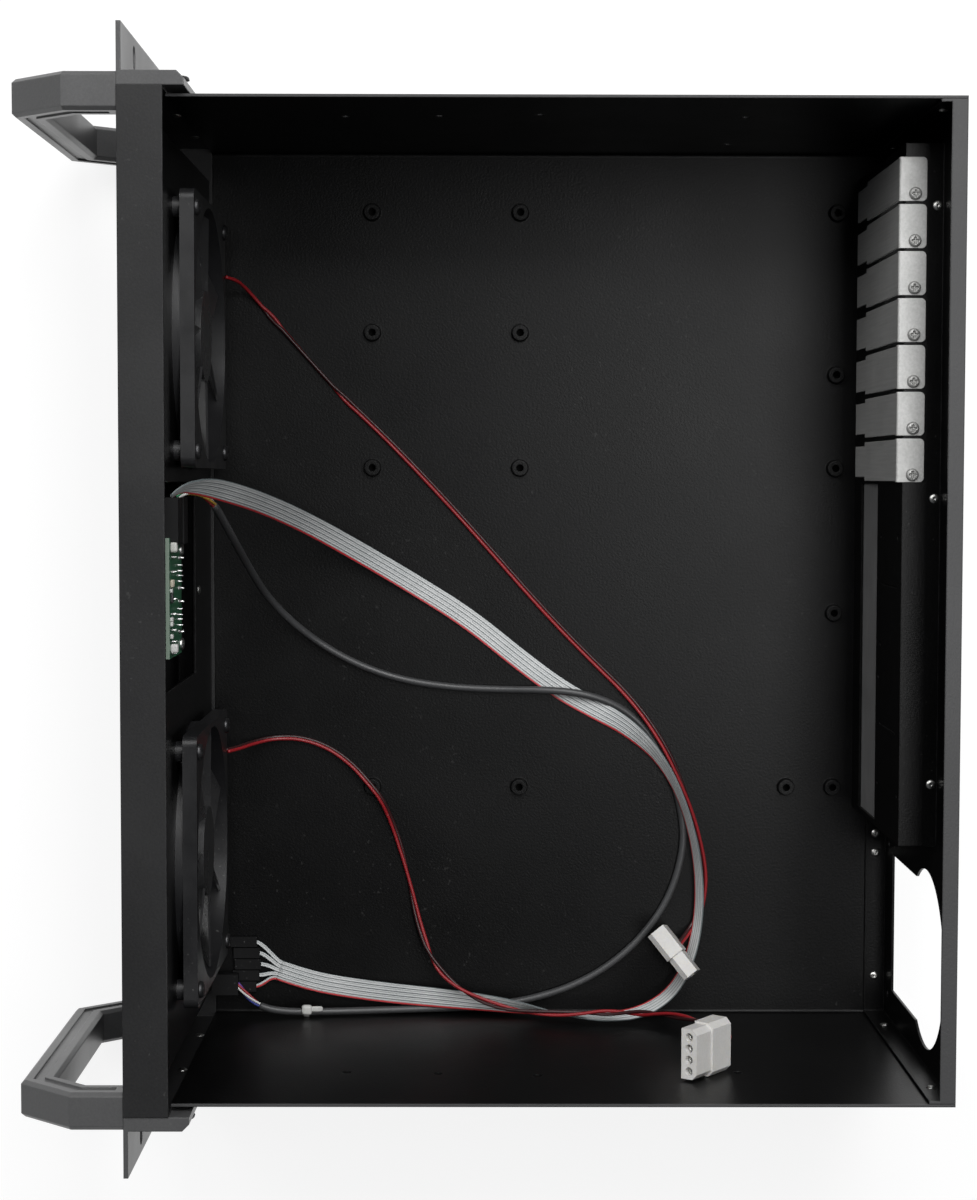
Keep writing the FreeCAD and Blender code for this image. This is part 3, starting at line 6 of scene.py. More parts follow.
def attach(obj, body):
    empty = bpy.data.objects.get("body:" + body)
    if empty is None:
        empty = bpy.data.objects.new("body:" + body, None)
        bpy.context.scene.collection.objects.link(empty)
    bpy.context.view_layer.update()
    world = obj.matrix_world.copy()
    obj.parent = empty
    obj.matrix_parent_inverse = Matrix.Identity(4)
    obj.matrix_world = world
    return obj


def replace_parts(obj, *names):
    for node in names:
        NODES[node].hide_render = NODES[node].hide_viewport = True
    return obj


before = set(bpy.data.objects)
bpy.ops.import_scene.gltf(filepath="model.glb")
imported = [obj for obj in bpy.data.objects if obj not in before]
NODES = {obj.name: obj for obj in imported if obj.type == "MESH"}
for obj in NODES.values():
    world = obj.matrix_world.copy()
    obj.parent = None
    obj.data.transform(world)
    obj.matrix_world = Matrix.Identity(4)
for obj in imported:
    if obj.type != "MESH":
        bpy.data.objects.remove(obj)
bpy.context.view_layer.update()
MM = 0.001

# Shared planes of the case, in millimetres
MID_HEIGHT = 88.5
SHELF_TOP = 126.9
SHELF_SCREW_LINE = 186.04
PANEL_INSIDE = -151.5
BULKHEAD_BACK = -135.2
FAN_BACK = -125.5
BOARD_BACK = -134.0
EAR_SIDE = 221.2
PAN_INSIDE = 214.0
FLANGE_INSIDE = 210.5
# Top of the tray, where the black coat gets its painted rim highlight
RIM_HEIGHT = 167.5
RIM_FADE = 1.0
BOARD_RIM = (160.7, 161.1)
CASE_HALF_WIDTH = 212.2
CASE_HALF_DEPTH = 175.5
CASE_MIDDLE = 23.6

# Fastener places and sizes, in millimetres
SLOT_COVERS = 7
SLOT_PITCH = 20.32
FIRST_SLOT_SCREW = -177.6
EAR_SCREW_LINE = -129.3
EAR_SCREW_PITCH = 62
FAN_ASIDE = 118.1
FAN_HEIGHT = 80.2
FAN_CORNERS = (-52.5, 52.5)
HANDLE_ASIDE = 209.8
HANDLE_SCREW_HEIGHTS = (8.25, 168.75)
BOARD_SCREWS = (-22.4, 18.9)
BOARD_SCREW_HEIGHT = 125.4
REAR_RIVET_LINE = 193.7
FRONT_RIVET_LINE = -137.2
FLOOR_RIVETS = [(x, REAR_RIVET_LINE, 2.4) for x in (121.7, 131.3, 193)]
SHELF_RIVETS = [(x, 196, 126) for x in (-172.6, -45.3, 80.6)]
WALL_RIVETS = [(FLANGE_INSIDE, REAR_RIVET_LINE, 32), (FLANGE_INSIDE, REAR_RIVET_LINE, 146),
               (PAN_INSIDE, FRONT_RIVET_LINE, 40), (PAN_INSIDE, FRONT_RIVET_LINE, 104)]
BULKHEAD_RIVET = (-1, BULKHEAD_BACK, 51)
RIVET_RADIUS = 2.2

# A screw's cross recess, as shares of its head's radius
CROSS_DEPTH = 0.3
CROSS_HALF_WIDTH = 0.17
CROSS_SIDE_FADE = 0.08
CROSS_REACH = 0.62
CROSS_END_FADE = 0.16

# Studio floor: metres, then its painted shadow tone under the case, its tone around it, and as the camera
# sees it with its glow
FLOOR_REACH = 6.0
FLOOR_DROP = 0.0006
FLOOR_PAINTED_SHADOW = (0.01, 0.01, 0.01)
FLOOR_AROUND = (0.72, 0.72, 0.72)
FLOOR_SEEN = (0.22, 0.22, 0.22)
FLOOR_GLOW = 0.84

# Camera: seen from above, front of the case on the left of the picture
CAMERA_PLACE = (-0.0546, -0.0030, 1.1205)
CAMERA_TILT = np.radians([3.11, -0.23, 0.09])
CAMERA_LENS = 68.16
CAMERA_SENSOR = 36

# Routes of the leads, in millimetres
RIBBON_ROUTE = [
    (-45.4, -134.8, 150.5), (-49.5, -131.2, 149.2), (-50.5, -123, 140), (-47.5, -113.5, 116),
    (-41.5, -100.5, 78), (-31.5, -83.5, 38), (-18, -62, 13), (-2.5, -36.5, 4.5), (15, -8.5, 2.8),
    (36.5, 18, 2.6), (50.5, 37, 2.6), (59.5, 53.5, 3.2), (68.5, 70.5, 5.4), (83, 86, 9.6),
    (103, 96.8, 12), (126.5, 103.6, 11), (151.5, 106.3, 10), (176, 103.8, 9.6), (197, 95, 13),
    (207.6, 78, 20),
    (209.2, 58, 24), (208.4, 37, 20), (205.6, 10, 12.5), (203.4, -17, 9), (201.5, -44.5, 6),
    (199, -68, 3.8), (195.5, -88, 3), (190.5, -102, 3)]
USB_ROUTE = [
    (-45.4, -134.8, 132), (-48.8, -130.2, 131), (-45.5, -121.5, 120), (-30.5, -116.8, 91),
    (-14.5, -112.6, 56), (4, -105.5, 24), (21, -90.5, 8), (35.5, -69, 4), (45, -44.5, 3.4),
    (49.2, -18.5, 3.2), (50.3, 7.2, 3.6), (50.2, 28, 6.2), (51.2, 44, 7), (54.8, 58, 5.4),
    (61, 70, 3.6), (71, 80.5, 3.2), (86, 89.5, 3.2), (103, 95.6, 3.2), (121, 98.8, 3.2), (136, 97, 3.2),
    (151, 92.4, 3.2), (166, 84, 3.2), (182.2, 69.5, 3.2), (195.5, 50, 3.2), (203.8, 27.5, 3.4),
    (208.2, 2.5, 3.8), (209.2, -24.5, 4.6), (209.5, -51.5, 7), (209.6, -76, 9.6), (209.3, -96.5, 12),
    (207.2, -109.5, 12.6), (201.4, -117.6, 11), (196, -122.6, 8.8)]
UPPER_LEAD_ROUTE = [
    (-150, -125.5, 23), (-149.3, -120.8, 18), (-146, -116.8, 9), (-138.5, -110.5, 3.6),
    (-127.5, -100.6, 2.9), (-111.5, -86.5, 2.9), (-94.5, -71.2, 2.9), (-80, -55.5, 2.9),
    (-63, -38.5, 2.9), (-41, -17.8, 2.9), (-17.5, 3.4, 2.9), (4.8, 23, 3), (22.5, 39.5, 3.2),
    (38, 55, 3.6), (51, 68.5, 5), (64, 79.3, 7.6), (79, 89, 8.8), (94.5, 96.2, 7.6), (110, 102.2, 5),
    (127, 106.6, 3.2), (142, 109, 2.9), (155, 108.4, 2.9), (165, 105, 3), (171.4, 100.4, 5),
    (175, 95.6, 13.6)]
LOWER_LEAD_ROUTE = [
    (78.5, -125.5, 23), (77.8, -120.5, 18), (76, -113.5, 9), (74.2, -104, 3.6), (74.4, -91, 2.9),
    (79, -77.5, 2.9), (87, -66, 5), (96, -57.4, 8.8), (104, -51, 8.6), (116, -46, 4), (131, -41, 3),
    (148, -37, 3.2), (168, -32.4, 6.4), (186, -25, 12.4), (198, -11, 17.6), (205, 9, 23.5),
    (206.4, 31.5, 28), (205, 53.5, 31), (203.8, 68.5, 36), (201.6, 79.5, 47), (199, 88.5, 61),
    (197.4, 98.5, 78), (198.2, 108, 91.5), (199.4, 111.8, 103), (199.5, 105.8, 111.6)]

# How each fan lead's two wires roll over each other: distance along it, then degrees, red on top at 90
UPPER_ROLL = [(0, 90), (30, 100), (44, 262), (82, 280), (98, 395), (330, 385), (400, 560)]
LOWER_ROLL = [(0, 60), (120, 40), (170, 220), (190, 400), (230, 640), (262, 810), (300, 1170),
              (360, 1530)]
FAN_WIRE_OFFSET = 0.84
FAN_WIRE_RADIUS = 0.82

# The sheathed lead: where its sheath starts and ends, counted from its two ends, and its bare wires
SHEATH_START = 26.0
SHEATH_END = 15.0
SHEATH_RADIUS = 1.8
SHEATH_PINCH = 0.3
PINCH_RUN = 1.5
MOUTH_SLACK = 0.1
WIRES_INSIDE = 6.0
BARE_TWIST = 38.0
BARE_OFFSET = 0.84
BARE_RADIUS = 0.58

# The tie on that lead: its Y and its band, then place and half size, ahead, right and up, of head and tail
TIE_PLACE = -88.5
TIE_GAP = 0.04
TIE_THICK = 0.56
TIE_HALF_WIDTH = 1.3
TIE_SIDES = 32
TIE_HEAD = ((0, 1.6, 2.5), (2.5, 2.3, 1.6))
TIE_TAIL = ((-4.8, 2.0, 2.6), (3.0, 1.3, 0.6))

# How the ribbon's width lies at each route point: the first four as directions towards its red edge, the
# rest as degrees turned from flat, red edge on the right of its heading, towards standing on that edge
RIBBON_START = [(0, 0, -1), (0.25, -0.2, -0.95), (0.55, -0.25, -0.8), (0.74, -0.3, -0.6)]
RIBBON_TURN = [30, 16, 5, 0, 0, 0, 0, 8, 30, 62, 75, 75, 72, 70, 70, 70, 80, 104, 145, 166, 178, 180,
               180, 180]
RIBBON_WIDTH = 10.2
RIBBON_CORES = 10
CORE_STEPS = 6
WEB_HALF = 0.24
CORE_BULGE = 0.2
EASE_SPAN = 9

# The ribbon's split ends: where each enters its plug, counted from the plug, and its pull at both ends
TAIL_MOUTH = (0, -1.5, 1.3)
TAIL_START_PULL = 4
TAIL_END_PULL = (0, 5, 0.6)
TAIL_POINTS = 18

# Each power plug's middle, the way from its pins to its wires, and the way along its row of pins
UPPER_PLUG = ((177.4, 92.6, 22.8), (-0.746, -0.610, -0.259), (-0.200, -0.164, 0.966))
LOWER_PLUG = ((199.5, 98, 121.5), (0, 0.616, -0.788), (1, 0, 0))
PLUG_LENGTH = 27
PIN_PITCH = 5.08
SMALL_PLUGS = [(176, -113, 2), (181.6, -111.6, 2), (187.2, -111, 2), (192.8, -111.8, 2),
               (198.4, -113.4, 2)]

RED_JACKET = (0.30, 0.014, 0.019)
BLACK_JACKET = (0.035, 0.009, 0.010)
WHITE_JACKET = (0.62, 0.62, 0.60)
BLUE_JACKET = (0.03, 0.045, 0.26)
GREEN_JACKET = (0.03, 0.22, 0.10)
YELLOW_JACKET = (0.55, 0.33, 0.05)
PURPLE_JACKET = (0.12, 0.05, 0.30)
RIBBON_JACKET = (0.58, 0.60, 0.60)
SHEATH_JACKET = (0.055, 0.056, 0.058)

# Dust on dark sheet and on plastic
SHEET_DUST = (0.16, 0.16, 0.155)
PLASTIC_DUST = (0.3, 0.3, 0.29)

# How rolling or drawing marks run on bare metal: noise is squeezed along the way they follow
NO_STRETCH = (1.0, 1.0, 1.0)
ROLLED_UP = (1.0, 1.0, 0.03)
ROLLED_ACROSS = (0.03, 1.0, 1.0)
DRAWN_BACK = (1.0, 0.03, 1.0)


def link(item):
    bpy.context.scene.collection.objects.link(item)
    return item


def unit(vectors):
    """Each vector divided by its own length."""
    vectors = np.asarray(vectors, float)
    return vectors / np.linalg.norm(vectors, axis=-1, keepdims=True)


def smoothstep(t):
    """Three t squared less two t cubed, held to 0 and 1 outside."""
    t = np.clip(t, 0, 1)
    return t * t * (3 - 2 * t)


# Surfaces are grids of points, kept as (points, quads, triangles, tints) until they become a mesh
def grid_quads(rows, columns, closed):
    """Quads of a grid: a point, the next in its row, and the same two in the row after."""
    row = np.arange(rows - 1)[:, None]
    column = np.arange(columns if closed else columns - 1)[None, :]
    after = (column + 1) % columns
    corners = (row * columns + column, row * columns + after,
               (row + 1) * columns + after, (row + 1) * columns + column)
    return np.stack(np.broadcast_arrays(*corners), -1).reshape(-1, 4)


def closed_sweep(sections, tint=(1, 1, 1)):
    """A stack of closed rings, each joined to the next, with a fan of triangles over both ends."""
    rows, columns = sections.shape[:2]
    points = np.concatenate([sections.reshape(-1, 3), sections[:1].mean(1), sections[-1:].mean(1)])
    ring = np.arange(columns)
    after = (ring + 1) % columns
    middle = rows * columns
    last = (rows - 1) * columns
    first_cap = np.stack([after, ring, np.full(columns, middle)], -1)
    last_cap = np.stack([last + ring, last + after, np.full(columns, middle + 1)], -1)
    tints = np.broadcast_to(np.asarray(tint, float), (len(points), 3))
    return points, grid_quads(rows, columns, True), np.concatenate([first_cap, last_cap]), tints


def joined(surfaces):
    """Several surfaces as one: points stacked, and face numbers moved up by the points before them."""
    starts = np.cumsum([0] + [len(surface[0]) for surface in surfaces[:-1]])
    return (np.concatenate([surface[0] for surface in surfaces]),
            np.concatenate([surface[1] + start for surface, start in zip(surfaces, starts)]),
            np.concatenate([surface[2] + start for surface, start in zip(surfaces, starts)]),
            np.concatenate([surface[3] for surface in surfaces]))


def piece(name, surface, finish, uv=None):
    """Puts a surface, in millimetres, into a mesh that rides on the case, its tints as an attribute."""
    points, quads, triangles, tints = surface
    mesh = bpy.data.meshes.new(name)
    mesh.from_pydata((points * MM).tolist(), [], quads.tolist() + triangles.tolist())
    colour = mesh.attributes.new("tint", "FLOAT_COLOR", "POINT")
    colour.data.foreach_set("color", np.c_[tints, np.ones(len(tints))].astype(np.float32).ravel())
    mesh.polygons.foreach_set("use_smooth", np.full(len(mesh.polygons), True))
    if uv is not None:
        corners = np.empty(len(mesh.loops), np.int32)
        mesh.loops.foreach_get("vertex_index", corners)
        layer = mesh.uv_layers.new(name="run")
        layer.data.foreach_set("uv", uv[corners].astype(np.float32).ravel())
    mesh.update()
    made = link(bpy.data.objects.new(name, mesh))
    mesh.materials.append(finish)
    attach(made, "case")
    return made


# Lines of the leads
def read_line(route):
    """Points, in millimetres, along the smooth spline that has the route as its control points."""
    curve = bpy.data.curves.new("route", "CURVE")
    curve.dimensions = "3D"
    spline = curve.splines.new("NURBS")
    spline.points.add(len(route) - 1)
    spline.points.foreach_set("co", np.c_[np.array(route) * MM, np.ones(len(route))].ravel())
    spline.order_u = 3
    spline.use_endpoint_u = True
    spline.resolution_u = 12
    holder = link(bpy.data.objects.new("route", curve))
    mesh = bpy.data.meshes.new_from_object(holder)
    line = np.empty(len(mesh.vertices) * 3)
    mesh.vertices.foreach_get("co", line)
    bpy.data.objects.remove(holder)
    bpy.data.curves.remove(curve)
    bpy.data.meshes.remove(mesh)
    return line.reshape(-1, 3) / MM


def run_length(line):
    """Distance along the line at each of its points."""
    return np.concatenate([[0], np.cumsum(np.linalg.norm(np.diff(line, axis=0), axis=1))])


def headings(line):
    return unit(np.gradient(line, axis=0))


def side_frame(line):
    """Heading, level direction to its right, and their cross product, at each point of a line."""
    ahead = headings(line)
    right = unit(np.stack([ahead[:, 1], -ahead[:, 0], np.zeros(len(ahead))], -1))
    return ahead, right, np.cross(right, ahead)


def tube(line, radius, tint, sides):
    """A round tube: line plus radius times (cos a, sin a) in the plane across its heading."""
    _, right, up = side_frame(line)
    angle = np.linspace(0, 2 * np.pi, sides, endpoint=False)[None, :, None]
    radius = np.broadcast_to(np.asarray(radius, float), (len(line),))[:, None, None]
    rings = line[:, None] + radius * (np.cos(angle) * right[:, None] - np.sin(angle) * up[:, None])
    return closed_sweep(rings, tint)


def strand_lines(line, count, offset, roll):
    """Lines wound round a middle line, evenly spaced about it, the first at the angle roll along it."""
    _, right, up = side_frame(line)
    phase = roll[None, :] + 2 * np.pi * np.arange(count)[:, None] / count
    return line + offset * (np.cos(phase)[..., None] * right + np.sin(phase)[..., None] * up)


def bezier(corners, count):
    """A cubic through four corner points: (1-t)^3 a + 3t(1-t)^2 b + 3t^2(1-t) c + t^3 d."""
    t = np.linspace(0, 1, count)[:, None]
    a, b, c, d = np.asarray(corners, float)
    return (1 - t) ** 3 * a + 3 * t * (1 - t) ** 2 * b + 3 * t ** 2 * (1 - t) * c + t ** 3 * d


# Shader helpers
def node_of(tree, kind, **settings):
    made = tree.nodes.new("ShaderNode" + kind)
    for name, setting in settings.items():
        setattr(made, name, setting)
    return made


def feed(tree, target, source):
    """Links a socket, or writes a plain value."""
    if isinstance(source, bpy.types.NodeSocket):
        tree.links.new(source, target)
    else:
        target.default_value = source


def noise(tree, vector, scale, detail):
    made = node_of(tree, "TexNoise")
    feed(tree, made.inputs["Vector"], vector)
    feed(tree, made.inputs["Scale"], scale)
    made.inputs["Detail"].default_value = detail
    made.inputs["Roughness"].default_value = 0.55
    return made.outputs["Fac"]


def spread(tree, value, low, high, to_low=0.0, to_high=1.0, smooth=False):
    """Moves a value from one range to another, held at the ends."""
    made = node_of(tree, "MapRange", interpolation_type="SMOOTHSTEP" if smooth else "LINEAR")
    for name, number in (("Value", value), ("From Min", low), ("From Max", high), ("To Min", to_low),
                         ("To Max", to_high)):
        feed(tree, made.inputs[name], number)
    return made.outputs["Result"]


def maths(tree, kind, first, second):
    """One step of arithmetic."""
    made = node_of(tree, "Math", operation=kind)
    feed(tree, made.inputs[0], first)
    feed(tree, made.inputs[1], second)
    return made.outputs[0]


def mixed(tree, share, first, second, kind="MIX"):
    made = node_of(tree, "Mix", data_type="RGBA", blend_type=kind)
    feed(tree, made.inputs["Factor"], share)
    feed(tree, made.inputs[6], first)
    feed(tree, made.inputs[7], second)
    return made.outputs[2]


def rgba(colour):
    return (*colour, 1.0)


def new_group(name, inputs, outputs):
    """An effect shared by several finishes, with named sockets."""
    tree = bpy.data.node_groups.new(name, "ShaderNodeTree")
    for socket, (kind, start) in inputs.items():
        made = tree.interface.new_socket(socket, in_out="INPUT", socket_type="NodeSocket" + kind)
        if start is not None:
            made.default_value = start
    for socket, kind in outputs.items():
        tree.interface.new_socket(socket, in_out="OUTPUT", socket_type="NodeSocket" + kind)
    return tree, tree.nodes.new("NodeGroupInput"), tree.nodes.new("NodeGroupOutput")


def grain_group():
    """Fine pimples and slow clouds of a sprayed coat: colour, roughness and height from two noises."""
    tree, given, out = new_group(
        "sprayed_grain",
        {"Vector": ("Vector", None), "Dark": ("Color", (0.02, 0.02, 0.02, 1)),
         "Light": ("Color", (0.03, 0.03, 0.03, 1)), "Grain": ("Float", 1500.0), "Cloud": ("Float", 14.0),
         "Smooth": ("Float", 0.4), "Rough": ("Float", 0.55)},
        {"Color": "Color", "Roughness": "Float", "Height": "Float"})
    fine = noise(tree, given.outputs["Vector"], given.outputs["Grain"], 2.0)
    slow = noise(tree, given.outputs["Vector"], given.outputs["Cloud"], 4.0)
    fine_part = maths(tree, "MULTIPLY", fine, 0.45)
    slow_part = maths(tree, "MULTIPLY", slow, 0.55)
    blend = maths(tree, "ADD", fine_part, slow_part)
    share = spread(tree, blend, 0.32, 0.68, smooth=True)
    feed(tree, out.inputs["Color"], mixed(tree, share, given.outputs["Dark"], given.outputs["Light"]))
    feed(tree, out.inputs["Roughness"],
         spread(tree, slow, 0.35, 0.65, given.outputs["Smooth"], given.outputs["Rough"]))
    feed(tree, out.inputs["Height"], fine)
    return tree


def speck_group():
    """A mask of sparse dust specks: the peaks of a fine noise where a slow one is high."""
    tree, given, out = new_group(
        "dust_specks", {"Vector": ("Vector", None), "Size": ("Float", 420.0), "Amount": ("Float", 0.5)},
        {"Mask": "Float"})
    fine = noise(tree, given.outputs["Vector"], given.outputs["Size"], 1.0)
    slow = noise(tree, given.outputs["Vector"], 9.0, 2.0)
    peak = spread(tree, fine, 0.70, 0.78, smooth=True)
    patch = spread(tree, slow, 0.42, 0.66, smooth=True)
    mask = maths(tree, "MULTIPLY", maths(tree, "MULTIPLY", peak, patch), given.outputs["Amount"])
    feed(tree, out.inputs["Mask"], mask)
    return tree


def edge_group():
    """A mask along sharp edges: how far a rounded normal turns away from the face's own. It paints edges
    lighter, partly as rubbing wear and partly as a painted edge highlight.
    """
    tree, given, out = new_group(
        "rubbed_and_highlit_edges", {"Radius": ("Float", 0.0008), "Vector": ("Vector", None)},
        {"Mask": "Float", "Normal": "Vector"})
    rounded = node_of(tree, "Bevel", samples=4)
    feed(tree, rounded.inputs["Radius"], given.outputs["Radius"])
    flat = node_of(tree, "NewGeometry")
    turn = node_of(tree, "VectorMath", operation="DOT_PRODUCT")
    feed(tree, turn.inputs[0], rounded.outputs[0])
    feed(tree, turn.inputs[1], flat.outputs["Normal"])
    edge_wear_and_highlight = spread(tree, turn.outputs["Value"], 0.995, 0.86, smooth=True)
    broken = spread(tree, noise(tree, given.outputs["Vector"], 160.0, 4.0), 0.36, 0.62)
    feed(tree, out.inputs["Mask"], maths(tree, "MULTIPLY", edge_wear_and_highlight, broken))
    feed(tree, out.inputs["Normal"], rounded.outputs[0])
    return tree


def streak_group():
    """Rolling marks on bare sheet: noise drawn out along one axis, as tone and height."""
    tree, given, out = new_group(
        "rolled_streaks", {"Vector": ("Vector", None), "Stretch": ("Vector", (1.0, 1.0, 0.03)),
                           "Scale": ("Float", 900.0)},
        {"Tone": "Float", "Blotch": "Float"})
    drawn = node_of(tree, "VectorMath", operation="MULTIPLY")
    feed(tree, drawn.inputs[0], given.outputs["Vector"])
    feed(tree, drawn.inputs[1], given.outputs["Stretch"])
    feed(tree, out.inputs["Tone"], noise(tree, drawn.outputs[0], given.outputs["Scale"], 3.0))
    feed(tree, out.inputs["Blotch"], noise(tree, given.outputs["Vector"], 70.0, 3.0))
    return tree


GRAIN = grain_group()
SPECKS = speck_group()
WORN_AND_HIGHLIT_EDGES = edge_group()
STREAKS = streak_group()


def new_finish(name):
    """An empty material with its shader, and Object coordinates to read."""
    finish = bpy.data.materials.new(name)
    finish.use_nodes = True
    tree = finish.node_tree
    tree.nodes.clear()
    shader = node_of(tree, "BsdfPrincipled")
    out = node_of(tree, "OutputMaterial")
    tree.links.new(shader.outputs[0], out.inputs[0])
    return finish, tree, shader, node_of(tree, "TexCoord").outputs["Object"]


def placed(tree, group, **given):
    made = tree.nodes.new("ShaderNodeGroup")
    made.node_tree = group
    for name, source in given.items():
        feed(tree, made.inputs[name], source)
    return made.outputs


def bumped(tree, height, strength, distance, normal=None):
    made = node_of(tree, "Bump")
    made.inputs["Strength"].default_value = strength
    made.inputs["Distance"].default_value = distance
    feed(tree, made.inputs["Height"], height)
    if normal is not None:
        feed(tree, made.inputs["Normal"], normal)
    return made.outputs[0]


def coat_finish(name, dark, light, grain, depth, smooth, rough, edge_wear_and_highlight, specular, dust, rim=None):
    """Sprayed coat: grain over the sheet, thin edges painted lighter as rubbing wear and as a painted
    highlight, specks of dust, and a painted highlight along the top rim.
    """
    finish, tree, shader, place = new_finish(name)
    skin = placed(tree, GRAIN, Vector=place, Dark=rgba(dark), Light=rgba(light), Grain=grain,
                  Smooth=smooth, Rough=rough)
    edge = placed(tree, WORN_AND_HIGHLIT_EDGES, Vector=place)
    specks = placed(tree, SPECKS, Vector=place, Amount=dust)
    # Lighter edges: partly rubbing wear, partly a painted edge highlight.
    tone = mixed(tree, edge["Mask"], skin["Color"], rgba(edge_wear_and_highlight))
    if rim is not None:
        split = node_of(tree, "SeparateXYZ")
        feed(tree, split.inputs[0], place)
        # Painted highlight: the coat turns lighter over the last millimetre below the top rim, standing in
        # for the gleam of the upward-facing edges.
        painted_rim_highlight = spread(tree, split.outputs[2], (RIM_HEIGHT - RIM_FADE) * MM, RIM_HEIGHT * MM)
        tone = mixed(tree, painted_rim_highlight, tone, rgba(rim))
    feed(tree, shader.inputs["Base Color"], mixed(tree, specks["Mask"], tone, rgba(SHEET_DUST)))
    feed(tree, shader.inputs["Roughness"], skin["Roughness"])
    feed(tree, shader.inputs["Normal"], bumped(tree, skin["Height"], 0.35, depth, edge["Normal"]))
    shader.inputs["Specular IOR Level"].default_value = specular
    return finish


def sheet_finish(name, colour, dull, metallic, smooth, rough, stretch):
    """Bare or plated sheet: rolling streaks, blotches in the gloss, edges painted brighter, as rubbing
    wear and as a painted glint.
    """
    finish, tree, shader, place = new_finish(name)
    marks = placed(tree, STREAKS, Vector=place, Stretch=stretch)
    edge = placed(tree, WORN_AND_HIGHLIT_EDGES, Vector=place, Radius=0.0004)
    tone = mixed(tree, spread(tree, marks["Tone"], 0.3, 0.7), rgba(dull), rgba(colour))
    # Brighter edges: partly rubbing wear, partly a painted glint.
    edge_wear_and_glint = tuple(min(1.0, 1.25 * part) for part in colour)
    feed(tree, shader.inputs["Base Color"], mixed(tree, edge["Mask"], tone, rgba(edge_wear_and_glint)))
    shader.inputs["Metallic"].default_value = metallic
    feed(tree, shader.inputs["Roughness"], spread(tree, marks["Blotch"], 0.35, 0.65, smooth, rough))
    feed(tree, shader.inputs["Normal"], bumped(tree, marks["Tone"], 0.08, 0.0001, edge["Normal"]))
    return finish


def moulded_finish(name, dark, light, grain, depth, smooth, rough, specular=0.5, tinted=False,
                   sheen=None):
    """Moulded plastic or wire jacket: fine grain, faint clouds and a few specks of dust."""
    finish, tree, shader, place = new_finish(name)
    skin = placed(tree, GRAIN, Vector=place, Dark=rgba(dark), Light=rgba(light), Grain=grain, Cloud=40.0,
                  Smooth=smooth, Rough=rough)
    colour = skin["Color"]
    if tinted:
        jacket = node_of(tree, "Attribute", attribute_name="tint")
        colour = mixed(tree, 1.0, jacket.outputs["Color"], colour, "MULTIPLY")
    specks = placed(tree, SPECKS, Vector=place, Size=700.0, Amount=0.25)
    feed(tree, shader.inputs["Base Color"], mixed(tree, specks["Mask"], colour, rgba(PLASTIC_DUST)))
    feed(tree, shader.inputs["Roughness"], skin["Roughness"])
    feed(tree, shader.inputs["Normal"], bumped(tree, skin["Height"], 0.25, depth))
    shader.inputs["Specular IOR Level"].default_value = specular
    if sheen is not None:
        shader.inputs["Subsurface Weight"].default_value = sheen
        shader.inputs["Subsurface Radius"].default_value = (0.002, 0.0016, 0.001)
    return finish


def circuit_finish():
    """Green lacquer over copper: straight traces as raised, lighter bands; the sawn top edge is pale."""
    finish, tree, shader, place = new_finish("circuit_lacquer")
    split = node_of(tree, "SeparateXYZ")
    feed(tree, split.inputs[0], place)
    blocks = node_of(tree, "TexBrick")
    turned = node_of(tree, "CombineXYZ")
    feed(tree, turned.inputs[0], split.outputs[0])
    feed(tree, turned.inputs[1], split.outputs[2])
    feed(tree, blocks.inputs["Vector"], turned.outputs[0])
    for socket, number in (("Scale", 1.0), ("Mortar Size", 0.00045), ("Brick Width", 0.009),
                           ("Row Height", 0.0021), ("Mortar Smooth", 0.4)):
        blocks.inputs[socket].default_value = number
    clouds = noise(tree, place, 120.0, 3.0)
    cloudy = spread(tree, clouds, 0.3, 0.7)
    lacquer = mixed(tree, cloudy, rgba((0.006, 0.075, 0.032)), rgba((0.012, 0.11, 0.05)))
    copper = mixed(tree, blocks.outputs["Fac"], lacquer, rgba((0.035, 0.19, 0.085)))
    rim = spread(tree, split.outputs[2], BOARD_RIM[0] * MM, BOARD_RIM[1] * MM)
    feed(tree, shader.inputs["Base Color"], mixed(tree, rim, copper, rgba((0.20, 0.26, 0.21))))
    feed(tree, shader.inputs["Roughness"], spread(tree, clouds, 0.3, 0.7, 0.28, 0.4))
    feed(tree, shader.inputs["Normal"], bumped(tree, blocks.outputs["Fac"], 0.4, 0.00005))
    return finish


def ribbon_finish():
    """Flat cable: grey cores, the last one red, with painted shade in the grooves between cores, faint
    within each pair and dark between pairs.
    """
    finish, tree, shader, place = new_finish("flat_cable_jacket")
    across = node_of(tree, "SeparateXYZ")
    feed(tree, across.inputs[0], node_of(tree, "UVMap", uv_map="run").outputs[0])
    core = maths(tree, "MULTIPLY", across.outputs[0], float(RIBBON_CORES))
    web = maths(tree, "PINGPONG", core, 0.5)
    pair = maths(tree, "PINGPONG", core, 1.0)
    red = spread(tree, core, RIBBON_CORES - 1.06, RIBBON_CORES - 0.94)
    clouds = noise(tree, place, 60.0, 3.0)
    cloudy = spread(tree, clouds, 0.3, 0.7)
    grey = mixed(tree, cloudy, rgba((0.55, 0.57, 0.57)), rgba((0.66, 0.67, 0.67)))
    jacket = mixed(tree, red, grey, rgba((0.48, 0.03, 0.035)))
    # Painted shade in the grooves between cores, deeper where pairs meet.
    faint_groove_shade = spread(tree, web, 0.16, 0.02, 0.0, 0.3, smooth=True)
    shade = maths(tree, "MAXIMUM", faint_groove_shade, spread(tree, pair, 0.30, 0.08, 0.0, 0.9, smooth=True))
    feed(tree, shader.inputs["Base Color"], mixed(tree, shade, jacket, rgba((0.05, 0.07, 0.075))))
    feed(tree, shader.inputs["Roughness"], spread(tree, clouds, 0.3, 0.7, 0.38, 0.5))
    feed(tree, shader.inputs["Normal"], bumped(tree, noise(tree, place, 1800.0, 2.0), 0.15, 0.00004))
    return finish


